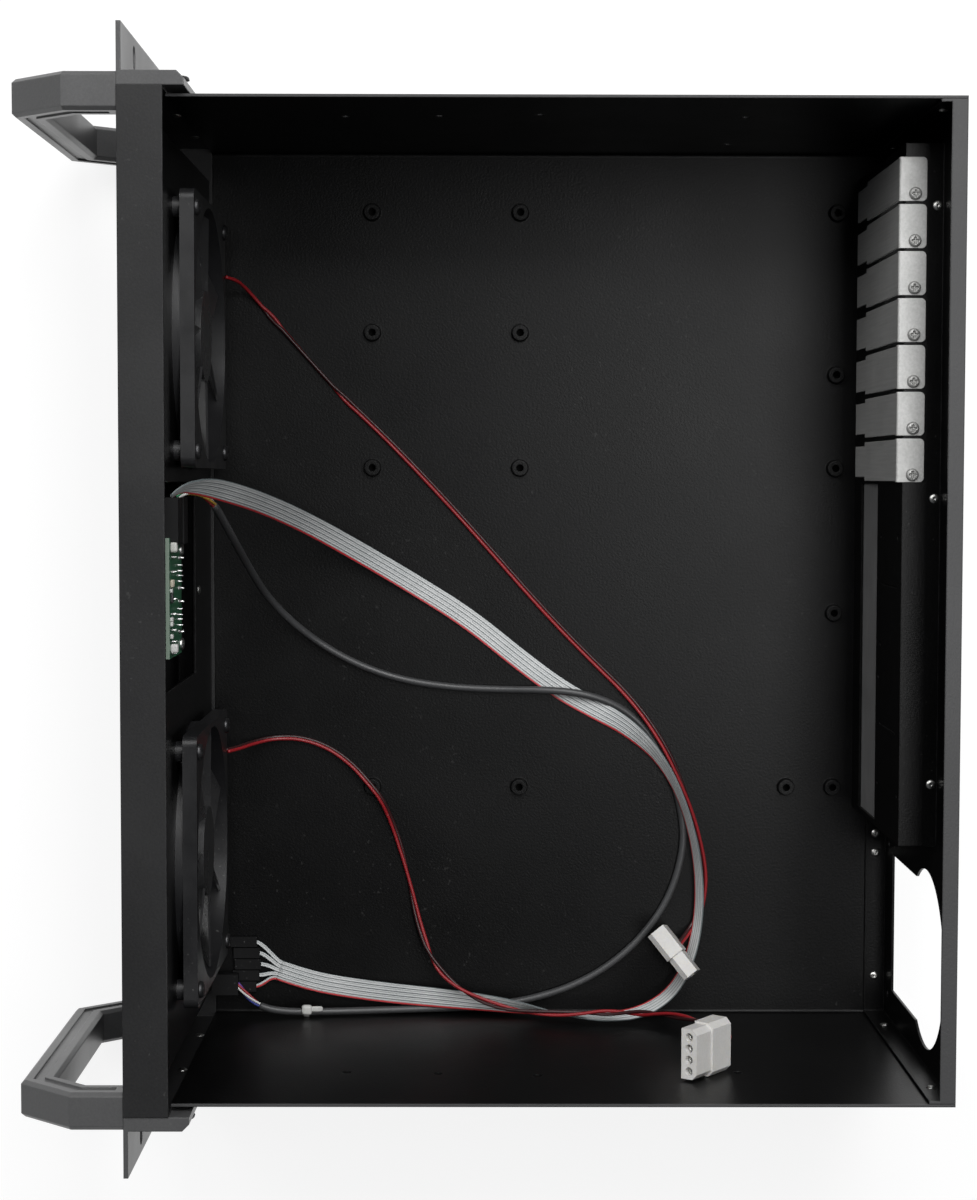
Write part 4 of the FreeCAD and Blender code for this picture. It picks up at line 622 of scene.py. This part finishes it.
def lens_finish():
    """Clear, pale green lamp lens, a little cloudy."""
    finish, tree, shader, place = new_finish("lamp_lens_green")
    clouds = noise(tree, place, 900.0, 2.0)
    cloudy = spread(tree, clouds, 0.35, 0.65)
    feed(tree, shader.inputs["Base Color"],
         mixed(tree, cloudy, rgba((0.30, 0.42, 0.30)), rgba((0.42, 0.55, 0.40))))
    shader.inputs["Roughness"].default_value = 0.12
    shader.inputs["Transmission Weight"].default_value = 0.5
    return finish


BLACK_COAT = coat_finish(
    "black_sprayed_sheet", dark=(0.0012, 0.0012, 0.0013), light=(0.0042, 0.0042, 0.0043), grain=950.0,
    depth=0.00022, smooth=0.33, rough=0.38, edge_wear_and_highlight=(0.020, 0.020, 0.020), specular=0.16, dust=0.12,
    # rim: the painted highlight tone along the top rim
    rim=(0.060, 0.060, 0.061))
FRONT_COAT = coat_finish(
    "front_sprayed_pan", dark=(0.012, 0.012, 0.0125), light=(0.018, 0.018, 0.0185), grain=950.0,
    depth=0.00012, smooth=0.42, rough=0.52, edge_wear_and_highlight=(0.05, 0.05, 0.05), specular=0.3, dust=0.15)
HANDLE_COAT = coat_finish(
    "handle_sprayed_bar", dark=(0.062, 0.062, 0.063), light=(0.080, 0.080, 0.081), grain=1100.0,
    depth=0.0001, smooth=0.32, rough=0.42, edge_wear_and_highlight=(0.10, 0.10, 0.10), specular=0.55, dust=0.15)
DARK_STEEL = sheet_finish(
    "blackened_screw", colour=(0.05, 0.05, 0.052), dull=(0.03, 0.03, 0.031), metallic=0.7,
    smooth=0.3, rough=0.42, stretch=NO_STRETCH)
COVER_STEEL = sheet_finish(
    "slot_cover_plate", colour=(0.50, 0.50, 0.49), dull=(0.41, 0.41, 0.40), metallic=0.2,
    smooth=0.40, rough=0.52, stretch=ROLLED_UP)
PLATED_STEEL = sheet_finish(
    "plated_screw", colour=(0.60, 0.60, 0.58), dull=(0.46, 0.46, 0.44), metallic=1.0,
    smooth=0.26, rough=0.42, stretch=NO_STRETCH)
DULL_STEEL = sheet_finish(
    "slot_screw_plate", colour=(0.40, 0.40, 0.39), dull=(0.31, 0.31, 0.30), metallic=0.6,
    smooth=0.38, rough=0.52, stretch=NO_STRETCH)
PORT_STEEL = sheet_finish(
    "port_plate_sheet", colour=(0.34, 0.34, 0.34), dull=(0.28, 0.28, 0.28), metallic=0.4,
    smooth=0.42, rough=0.55, stretch=ROLLED_ACROSS)
FAN_PLASTIC = moulded_finish(
    "fan_moulding", dark=(0.010, 0.010, 0.011), light=(0.016, 0.016, 0.017), grain=1300.0,
    depth=0.00005, smooth=0.30, rough=0.42)
BLADE_PLASTIC = moulded_finish(
    "fan_blade_moulding", dark=(0.026, 0.026, 0.027), light=(0.038, 0.038, 0.039), grain=900.0,
    depth=0.00003, smooth=0.24, rough=0.36)
POST_BRASS = sheet_finish(
    "post_brass", colour=(0.72, 0.53, 0.24), dull=(0.58, 0.42, 0.18), metallic=1.0,
    smooth=0.25, rough=0.4, stretch=DRAWN_BACK)
CHIP_BLACK = moulded_finish(
    "chip_moulding", dark=(0.003, 0.003, 0.0033), light=(0.007, 0.007, 0.0074), grain=2200.0,
    depth=0.00002, smooth=0.5, rough=0.62, specular=0.2)
SOCKET_STEEL = sheet_finish(
    "socket_shell", colour=(0.68, 0.67, 0.65), dull=(0.58, 0.57, 0.55), metallic=1.0,
    smooth=0.2, rough=0.32, stretch=DRAWN_BACK)
TONGUE_WHITE = moulded_finish(
    "socket_tongue", dark=(0.60, 0.60, 0.58), light=(0.68, 0.68, 0.66), grain=1500.0,
    depth=0.00002, smooth=0.35, rough=0.45)
BUTTON_GREY = moulded_finish(
    "button_moulding", dark=(0.055, 0.056, 0.058), light=(0.075, 0.076, 0.078), grain=1500.0,
    depth=0.00004, smooth=0.34, rough=0.46)
LAMP_LENS = lens_finish()
CIRCUIT = circuit_finish()
RIBBON_FINISH = ribbon_finish()
JACKET = moulded_finish(
    "wire_jacket", dark=(0.82, 0.82, 0.82), light=(1.0, 1.0, 1.0), grain=1600.0,
    depth=0.00003, smooth=0.34, rough=0.46, tinted=True)
IVORY = moulded_finish(
    "plug_ivory_moulding", dark=(0.60, 0.59, 0.57), light=(0.67, 0.66, 0.64), grain=900.0,
    depth=0.00004, smooth=0.36, rough=0.5, sheen=0.12)
SOLDER = sheet_finish(
    "solder_tin", colour=(0.72, 0.72, 0.70), dull=(0.55, 0.55, 0.54), metallic=1.0,
    smooth=0.2, rough=0.4, stretch=NO_STRETCH)


FINISHES = {
    BLACK_COAT: ["base_tray", "front_bulkhead", "rear_panel"],
    FRONT_COAT: ["front_panel"],
    HANDLE_COAT: ["left_handle", "right_handle", "left_rack_ear", "right_rack_ear"],
    COVER_STEEL: [f"slot_cover_{k + 1}" for k in range(SLOT_COVERS)],
    PORT_STEEL: ["port_plate"],
    DULL_STEEL: ["slot_cover_screws"],
    PLATED_STEEL: ["board_screws", "panel_rivets"],
    DARK_STEEL: ["handle_screws", "ear_screws", "fan_screws"],
    FAN_PLASTIC: ["fan_frame_left", "fan_frame_right"],
    BLADE_PLASTIC: ["fan_rotor_left", "fan_rotor_right"],
    CIRCUIT: ["front_board"],
    POST_BRASS: ["board_posts"],
    CHIP_BLACK: ["board_chips", "power_switch", "reset_switch", "ribbon_header", "usb_header",
                 "panel_lead_plugs", "board_plug"],
    SOCKET_STEEL: ["usb_socket_left", "usb_socket_right"],
    TONGUE_WHITE: ["usb_tongue_left", "usb_tongue_right"],
    BUTTON_GREY: ["power_button", "reset_button"],
    LAMP_LENS: ["indicator_lamps"],
    IVORY: ["upper_fan_plug", "lower_fan_plug"],
}
for finish, names in FINISHES.items():
    for name in names:
        mesh = NODES[name].data
        mesh.materials.clear()
        mesh.materials.append(finish)


# Camera
def make_camera():
    """Turns about the camera's own axes from straight down, with the case's back to the right."""
    a, b, c = CAMERA_TILT
    about_x = np.array([[1, 0, 0], [0, np.cos(a), -np.sin(a)], [0, np.sin(a), np.cos(a)]])
    about_y = np.array([[np.cos(b), 0, np.sin(b)], [0, 1, 0], [-np.sin(b), 0, np.cos(b)]])
    about_z = np.array([[np.cos(c), -np.sin(c), 0], [np.sin(c), np.cos(c), 0], [0, 0, 1]])
    right, down, ahead = about_z @ about_y @ about_x @ np.array([[0, 1, 0], [1, 0, 0], [0, 0, -1.0]])
    lens = bpy.data.cameras.new("camera")
    lens.lens = CAMERA_LENS
    lens.sensor_width = CAMERA_SENSOR
    camera = link(bpy.data.objects.new("camera", lens))
    turn = np.eye(4)
    turn[:3, 0], turn[:3, 1], turn[:3, 2], turn[:3, 3] = right, -down, -ahead, CAMERA_PLACE
    camera.matrix_world = Matrix(turn.tolist())
    bpy.context.scene.camera = camera


make_camera()


# Leads
def ribbon_frame(line):
    """Heading, direction to the red edge and the flat's normal, eased between the route's settings."""
    route = np.array(RIBBON_ROUTE, float)
    ahead = headings(route)[len(RIBBON_START):]
    right = unit(np.stack([ahead[:, 1], -ahead[:, 0], np.zeros(len(ahead))], -1))
    turn = np.radians(RIBBON_TURN)[:, None]
    lain = np.cos(turn) * right - np.sin(turn) * np.array([0, 0, 1.0])
    settings = np.concatenate([unit(RIBBON_START), lain])
    last = len(route) - 2
    reached = np.clip(np.arange(len(route)) - 0.5, 0, last)
    asked = np.linspace(0, last, len(line))
    wide = np.stack([np.interp(asked, reached, settings[:, k]) for k in range(3)], -1)
    smooth = np.ones(EASE_SPAN) / EASE_SPAN
    padded = np.pad(wide, ((EASE_SPAN // 2, EASE_SPAN // 2), (0, 0)), mode="edge")
    wide = np.stack([np.convolve(padded[:, k], smooth, "valid") for k in range(3)], -1)
    forward = headings(line)
    wide = unit(wide - forward * np.sum(wide * forward, 1, keepdims=True))
    return forward, wide, np.cross(wide, forward)


def ribbon_surface(line, wide, flat, low, high):
    """A band of round cores from low to high: half as thick as web plus bulge root |sin(pi core)|."""
    steps = int(round((high - low) * RIBBON_CORES)) * CORE_STEPS + 1
    across = np.linspace(low, high, steps)
    half = WEB_HALF + CORE_BULGE * np.sqrt(np.abs(np.sin(np.pi * RIBBON_CORES * across)))
    reach = (across - 0.5) * RIBBON_WIDTH
    ring_reach = np.concatenate([reach, reach[::-1]])
    ring_half = np.concatenate([half, -half[::-1]])
    rings = (line[:, None] + ring_reach[None, :, None] * wide[:, None]
             + ring_half[None, :, None] * flat[:, None])
    surface = closed_sweep(rings, RIBBON_JACKET)
    along = run_length(line) / RIBBON_WIDTH
    ring_across = np.concatenate([across, across[::-1]])
    uv = np.stack(np.broadcast_arrays(ring_across[None, :], along[:, None]), -1).reshape(-1, 2)
    ends = np.array([[0.5 * (low + high), along[0]], [0.5 * (low + high), along[-1]]])
    return surface, np.concatenate([uv, ends])


def make_ribbon():
    """The flat cable, and its cores split in pairs that curve into the small plugs."""
    line = read_line(RIBBON_ROUTE)
    _, wide, flat = ribbon_frame(line)
    surface, uv = ribbon_surface(line, wide, flat, 0.0, 1.0)
    ribbon = piece("ribbon_flat_cable", surface, RIBBON_FINISH, uv=uv)
    tails, tail_uv = [], []
    for k, plug in enumerate(SMALL_PLUGS):
        middle = (k + 0.5) / len(SMALL_PLUGS)
        start = line[-1] + (middle - 0.5) * RIBBON_WIDTH * wide[-1]
        goal = np.add(plug, TAIL_MOUTH)
        leaving = start + TAIL_START_PULL * headings(line)[-1]
        run = bezier([start, leaving, goal + TAIL_END_PULL, goal], TAIL_POINTS)
        across = np.broadcast_to(wide[-1], run.shape)
        share = smoothstep(np.linspace(0, 1, len(run)))[:, None]
        across = unit((1 - share) * across + share * np.array([1.0, 0, 0]))
        ahead = headings(run)
        across = unit(across - ahead * np.sum(across * ahead, 1, keepdims=True))
        low, high = k / len(SMALL_PLUGS), (k + 1) / len(SMALL_PLUGS)
        part, part_uv = ribbon_surface(run, across, np.cross(across, ahead), low, high)
        shifted = part[0] - (middle - 0.5) * RIBBON_WIDTH * np.concatenate(
            [np.repeat(across, (len(part[0]) - 2) // len(run), axis=0), across[:1], across[-1:]])
        tails.append((shifted, *part[1:]))
        tail_uv.append(part_uv)
    split = piece("ribbon_split_ends", joined(tails), RIBBON_FINISH,
                  uv=np.concatenate(tail_uv))
    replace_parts(ribbon, "ribbon_cable")


def make_sheathed_lead():
    """A round sheath, drawn in a little at its two mouths, where four twisted wires come out bare."""
    line = read_line(USB_ROUTE)
    run = run_length(line)
    mouths = SHEATH_START, run[-1] - SHEATH_END
    covered = (run >= mouths[0] - MOUTH_SLACK) & (run <= mouths[1])
    along = run[covered]
    mouth = np.minimum(along - along[0], along[-1] - along)
    radius = SHEATH_RADIUS - SHEATH_PINCH * np.exp(-mouth / PINCH_RUN)
    surfaces = [tube(line[covered], radius, SHEATH_JACKET, 20)]
    for kept, colours in (
            (run <= mouths[0] + WIRES_INSIDE, (WHITE_JACKET, GREEN_JACKET, RED_JACKET, YELLOW_JACKET)),
            (run >= mouths[1] - WIRES_INSIDE, (WHITE_JACKET, BLUE_JACKET, PURPLE_JACKET, RED_JACKET))):
        roll = 2 * np.pi * run[kept] / BARE_TWIST
        for strand, colour in zip(strand_lines(line[kept], len(colours), BARE_OFFSET, roll), colours):
            surfaces.append(tube(strand, BARE_RADIUS, colour, 10))
    lead = piece("sheathed_panel_lead", joined(surfaces), JACKET)
    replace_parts(lead, "usb_cable")
    tie = make_tie(line, run)


def make_tie(line, run):
    """A nylon tie round the sheathed lead: a thin band, a rounded head and a cut tail."""
    spot = np.argmin(np.abs(line[:, 1] - TIE_PLACE) + 1000 * (run < run[-1] / 2))
    centre = line[spot]
    ahead, right, up = axes = [part[spot] for part in side_frame(line)]
    angle = np.linspace(0, 2 * np.pi, TIE_SIDES, endpoint=False)
    half = TIE_HALF_WIDTH
    inside = SHEATH_RADIUS + TIE_GAP
    outside = inside + TIE_THICK
    section = np.array([(-half, inside), (half, inside), (half, outside), (-half, outside)])
    around = np.cos(angle)[:, None] * right - np.sin(angle)[:, None] * up
    band = centre + section[None, :, :1] * ahead + section[None, :, 1:] * around[:, None]
    points = band.reshape(-1, 3)
    rings = grid_quads(len(angle) + 1, len(section), True) % len(points)
    loop = (points, rings[:, ::-1], np.empty((0, 3), int), np.broadcast_to(WHITE_JACKET, points.shape))
    blocks = [rounded_block(centre + np.asarray(place) @ np.asarray(axes), axes, size, WHITE_JACKET)
              for place, size in (TIE_HEAD, TIE_TAIL)]
    return piece("lead_tie", joined([loop, *blocks]), JACKET)


def rounded_block(centre, axes, half, tint, power=5.0):
    """A soft-cornered block: a sphere's points pushed out until |x|^p + |y|^p + |z|^p = 1."""
    along = np.linspace(0, np.pi, 15)[:, None]
    angle = np.linspace(0, 2 * np.pi, 24, endpoint=False)[None, :]
    ball = np.stack(np.broadcast_arrays(np.sin(along) * np.cos(angle), np.sin(along) * np.sin(angle),
                                        np.cos(along)), -1)[1:-1]
    size = np.sum(np.abs(ball) ** power, -1, keepdims=True) ** (-1 / power)
    shape = ball * size * np.asarray(half)
    rings = np.asarray(centre) + shape @ np.asarray(axes)
    return closed_sweep(rings[::-1], tint)


def make_fan_lead(name, route, rolls, node):
    """Two jacketed wires, red and black, that lie together and roll slowly over each other."""
    line = read_line(route)
    at, degrees = np.transpose(rolls)
    roll = np.radians(np.interp(run_length(line), at, degrees))
    strands = strand_lines(line, 2, FAN_WIRE_OFFSET, roll)
    surfaces = [tube(strand, FAN_WIRE_RADIUS, colour, 12)
                for strand, colour in zip(strands, (RED_JACKET, BLACK_JACKET))]
    lead = piece(name, joined(surfaces), JACKET)
    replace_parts(lead, node)


make_ribbon()
make_sheathed_lead()
make_fan_lead("upper_fan_wires", UPPER_LEAD_ROUTE, UPPER_ROLL, "upper_fan_lead")
make_fan_lead("lower_fan_wires", LOWER_LEAD_ROUTE, LOWER_ROLL, "lower_fan_lead")


# Turned fasteners. For each way that a head can face: its two sides and its axis
AXES = {"+x": ((0, 1, 0), (0, 0, 1), (1, 0, 0)), "-x": ((0, -1, 0), (0, 0, 1), (-1, 0, 0)),
        "+y": ((0, 0, 1), (1, 0, 0), (0, 1, 0)), "+z": ((1, 0, 0), (0, 1, 0), (0, 0, 1))}


def turned_head(place, way, radius, profile, recess=0.0):
    """A head turned about its axis: height over radius from the profile, less a cross-shaped recess."""
    out = np.linspace(1, 0.04, 18)[:, None]
    angle = np.linspace(0, 2 * np.pi, 40, endpoint=False)[None, :]
    x, y = out * np.cos(angle), out * np.sin(angle)
    height = profile(out) * np.ones_like(angle)
    if recess:
        narrow, far = np.minimum(np.abs(x), np.abs(y)), np.maximum(np.abs(x), np.abs(y))
        within = smoothstep((CROSS_HALF_WIDTH - narrow) / CROSS_SIDE_FADE)
        height = height - recess * within * smoothstep((CROSS_REACH - far) / CROSS_END_FADE)
    rings = np.concatenate([np.stack([x[:1], y[:1], np.zeros_like(x[:1])], -1),
                            np.stack([x, y, height], -1)])
    return closed_sweep(np.asarray(place) + radius * rings @ np.asarray(AXES[way], float))


def pan(out):
    """Pan head: steep at the rim, nearly flat on top."""
    return 0.5 * (1 - out ** 5) ** 0.5 + 0.02


def dome(out):
    """Pulled rivet: low dome with a shallow dimple where its stem broke off."""
    return 0.42 * (1 - out ** 2) ** 0.7 - 0.16 * np.exp(-(out / 0.26) ** 2) + 0.01


def make_fasteners():
    sides = (-1, 1)
    slot_screws = [((FIRST_SLOT_SCREW + SLOT_PITCH * k, SHELF_SCREW_LINE, SHELF_TOP), "+z")
                   for k in range(SLOT_COVERS)]
    ear_screws = [((side * EAR_SIDE, EAR_SCREW_LINE, MID_HEIGHT + EAR_SCREW_PITCH * k), way)
                  for side, way in zip(sides, ("-x", "+x")) for k in (-1, 0, 1)]
    fan_screws = [((side * FAN_ASIDE + across, FAN_BACK, FAN_HEIGHT + up), "+y")
                  for side in sides for across in FAN_CORNERS for up in FAN_CORNERS]
    handle_screws = [((side * HANDLE_ASIDE, PANEL_INSIDE, height), "+y")
                     for side in sides for height in HANDLE_SCREW_HEIGHTS]
    board_screws = [((x, BOARD_BACK, BOARD_SCREW_HEIGHT), "+y") for x in BOARD_SCREWS]
    for name, node, finish, radius, screws in (
            ("slot_cover_screw_heads", "slot_cover_screws", DULL_STEEL, 2.85, slot_screws),
            ("ear_screw_heads", "ear_screws", DARK_STEEL, 3.7, ear_screws),
            ("fan_screw_heads", "fan_screws", DARK_STEEL, 3.8, fan_screws),
            ("handle_screw_heads", "handle_screws", DARK_STEEL, 3.6, handle_screws),
            ("board_screw_heads", "board_screws", PLATED_STEEL, 2.75, board_screws)):
        heads = [turned_head(place, way, radius, pan, CROSS_DEPTH) for place, way in screws]
        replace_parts(piece(name, joined(heads), finish), node)
    rivets = [(place, "+z") for place in FLOOR_RIVETS + SHELF_RIVETS]
    for x, y, z in WALL_RIVETS:
        rivets += [((-x, y, z), "+x"), ((x, y, z), "-x")]
    rivets.append((BULKHEAD_RIVET, "+y"))
    heads = [turned_head(place, way, RIVET_RADIUS, dome) for place, way in rivets]
    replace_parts(piece("rivet_heads", joined(heads), PLATED_STEEL), "panel_rivets")


make_fasteners()


# Control board parts on its rear face, in millimetres
SWITCHES = (-17, 1)
LAMPS = (11, 16, 21)
SOCKETS = (-12.5, 6.5)
CONTROL_LINE = 152.4
SOCKET_PIN_LINE = 134.7
SOCKET_LUG_LINE = 131.5
PALE_CERAMIC = (0.58, 0.58, 0.56)
BROWN_CERAMIC = (0.50, 0.45, 0.36)

# Solder joints of each kind of part: its places and line, offsets along x and z, then radius and height
SOLDER_JOINTS = [
    (SWITCHES, CONTROL_LINE, (-3.2, 3.2), (-2.2, 2.2), 0.75, 1.8),
    (LAMPS, CONTROL_LINE, (0,), (-1.3, 1.3), 0.6, 1.7),
    (SOCKETS, SOCKET_PIN_LINE, (-3.5, -1, 1, 3.5), (0,), 0.75, 2.2),
    (SOCKETS, SOCKET_LUG_LINE, (-6.6, 6.6), (0,), 1.3, 2.4)]

# Each component's x and z, half its width and height, its depth and its tint
COMPONENTS = [
    (-24.4, 156.5, 2.2, 2.2, 3.0, (0.55, 0.55, 0.52)),
    (-9, 157.6, 1.6, 0.9, 1.3, BROWN_CERAMIC),
    (-9, 154.6, 1.6, 0.9, 1.3, BROWN_CERAMIC),
    (-6, 158.4, 0.9, 1.6, 1.1, (0.60, 0.60, 0.58)),
    (6.2, 158, 1.0, 1.7, 1.2, PALE_CERAMIC),
    (8.2, 158, 1.0, 1.7, 1.2, PALE_CERAMIC),
    (13.4, 158, 1.0, 1.7, 1.2, PALE_CERAMIC),
    (18.5, 157.8, 1.9, 1.9, 3.2, (0.60, 0.60, 0.58)),
    (-3, 157.5, 2.4, 1.4, 1.2, (0.03, 0.03, 0.032))]
COMPONENT_SINK = 0.05


def make_board_parts():
    """Soldered pin ends as cones with hollow sides, and small components as soft-cornered blocks."""
    legs = [(x + dx, line + dz, radius, tall)
            for places, line, across, up, radius, tall in SOLDER_JOINTS
            for x in places for dx in across for dz in up]
    height = np.linspace(0, 1, 9)[:, None]
    angle = np.linspace(0, 2 * np.pi, 14, endpoint=False)[None, :]
    fillet = 0.3 + 0.7 * (1 - height) ** 2.2
    joints = []
    for x, z, radius, tall in legs:
        rings = np.broadcast_arrays(x + radius * fillet * np.sin(angle), BOARD_BACK + tall * height,
                                    z + radius * fillet * np.cos(angle))
        joints.append(closed_sweep(np.stack(rings, -1)))
    piece("board_solder", joined(joints), SOLDER)
    parts = []
    for x, z, wide, tall, deep, tint in COMPONENTS:
        place = (x, BOARD_BACK + deep / 2, z)
        parts.append(rounded_block(place, np.eye(3), (wide, deep / 2 + COMPONENT_SINK, tall), tint, 6.0))
    made = piece("board_components", joined(parts), JACKET)
    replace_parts(made, "board_chips")


make_board_parts()


# Sleeves in the plugs' bores, in millimetres
PLUG_WAYS = 4
SLEEVE_OUTSIDE = 1.55
SLEEVE_INSIDE = 1.15
SLEEVE_LENGTH = 8.5
SLEEVE_SETBACK = 2.2


def make_plug_pins(name, plug):
    """Four open sleeves, each a ring of metal set back inside its bore."""
    middle, back, across = (np.asarray(part, float) for part in plug)
    thick = np.cross(back, across)
    angle = np.linspace(0, 2 * np.pi, 24, endpoint=False)[None, :, None]
    ring = np.cos(angle) * across + np.sin(angle) * thick
    steps = np.array([(SLEEVE_OUTSIDE, SLEEVE_LENGTH), (SLEEVE_OUTSIDE, 0),
                      (SLEEVE_INSIDE, 0), (SLEEVE_INSIDE, SLEEVE_LENGTH)])
    mouth = middle - (PLUG_LENGTH / 2 - SLEEVE_SETBACK) * back
    sleeves = []
    for k in range(PLUG_WAYS):
        centre = mouth + (k - (PLUG_WAYS - 1) / 2) * PIN_PITCH * across
        rings = centre + steps[:, :1, None] * ring + steps[:, 1:, None] * back
        sleeves.append(closed_sweep(rings[::-1]))
    piece(name, joined(sleeves), PLATED_STEEL)


make_plug_pins("upper_plug_sleeves", UPPER_PLUG)
make_plug_pins("lower_plug_sleeves", LOWER_PLUG)


# Studio
def beyond(tree, socket, middle, half):
    """One where a coordinate is further than half from middle, nought elsewhere."""
    away = maths(tree, "SUBTRACT", socket, middle * MM)
    return maths(tree, "GREATER_THAN", maths(tree, "ABSOLUTE", away, 0.0), half * MM)


def make_floor():
    """A wide pale floor, white to the camera around the case, that keeps the case's shadow; under the case
    it is painted near black as painted shadow.
    """
    mesh = bpy.data.meshes.new("studio_floor")
    corners = [(-1, -1), (1, -1), (1, 1), (-1, 1)]
    mesh.from_pydata([(x * FLOOR_REACH, y * FLOOR_REACH, -FLOOR_DROP) for x, y in corners], [],
                     [(0, 1, 2, 3)])
    floor = link(bpy.data.objects.new("studio_floor", mesh))
    paint = bpy.data.materials.new("studio_floor_paint")
    paint.use_nodes = True
    tree = paint.node_tree
    tree.nodes.clear()
    light = node_of(tree, "LightPath").outputs
    mirrored = maths(tree, "MAXIMUM", light["Is Camera Ray"], light["Is Glossy Ray"])
    seen = maths(tree, "MAXIMUM", mirrored, light["Is Transmission Ray"])
    split = node_of(tree, "SeparateXYZ")
    feed(tree, split.inputs[0], node_of(tree, "TexCoord").outputs["Object"])
    aside = beyond(tree, split.outputs[0], 0.0, CASE_HALF_WIDTH)
    ahead = beyond(tree, split.outputs[1], CASE_MIDDLE, CASE_HALF_DEPTH)
    open_floor = maths(tree, "MAXIMUM", aside, ahead)
    seen = maths(tree, "MULTIPLY", seen, open_floor)
    # Under the case the floor gets no glow and a near-black painted shadow tone.
    matt = node_of(tree, "BsdfDiffuse")
    feed(tree, matt.inputs["Color"], mixed(tree, open_floor, rgba(FLOOR_PAINTED_SHADOW), rgba(FLOOR_AROUND)))
    thin = node_of(tree, "BsdfDiffuse")
    thin.inputs["Color"].default_value = rgba(FLOOR_SEEN)
    glow = node_of(tree, "Emission")
    glow.inputs["Strength"].default_value = FLOOR_GLOW
    both = node_of(tree, "AddShader")
    feed(tree, both.inputs[0], thin.outputs[0])
    feed(tree, both.inputs[1], glow.outputs[0])
    choice = node_of(tree, "MixShader")
    feed(tree, choice.inputs[0], seen)
    feed(tree, choice.inputs[1], matt.outputs[0])
    feed(tree, choice.inputs[2], both.outputs[0])
    out = node_of(tree, "OutputMaterial")
    feed(tree, out.inputs[0], choice.outputs[0])
    mesh.materials.append(paint)


def soft_box(name, place, goal, size, power):
    """A flat area lamp at a place, facing a goal, in metres and watts."""
    lamp = bpy.data.lights.new(name, "AREA")
    lamp.shape = "RECTANGLE"
    lamp.size, lamp.size_y = size
    lamp.energy = power
    holder = link(bpy.data.objects.new(name, lamp))
    back = unit(np.subtract(place, goal))
    side = unit(np.cross((0, 1, 0), back))
    turn = np.eye(4)
    turn[:3, 0], turn[:3, 1], turn[:3, 2], turn[:3, 3] = side, np.cross(back, side), back, place
    holder.matrix_world = Matrix(turn.tolist())


def make_light():
    world = bpy.data.worlds.new("studio_world")
    bpy.context.scene.world = world
    world.use_nodes = True
    sky = world.node_tree.nodes["Background"].inputs
    sky["Color"].default_value = (0.92, 0.95, 1.0, 1)
    sky["Strength"].default_value = 0.10
    soft_box("key_box", (-1.15, 0.25, 1.45), (0, 0.02, 0.05), (1.2, 1.0), 22)
    soft_box("top_box", (-0.24, 0.46, 1.75), (0, 0.1, 0), (1.2, 0.5), 11)
    soft_box("front_box", (-0.85, -1.1, 1.4), (0, 0.1, 0.05), (0.9, 0.9), 11)
    bpy.context.scene.view_settings.view_transform = "Standard"


make_floor()
make_light()
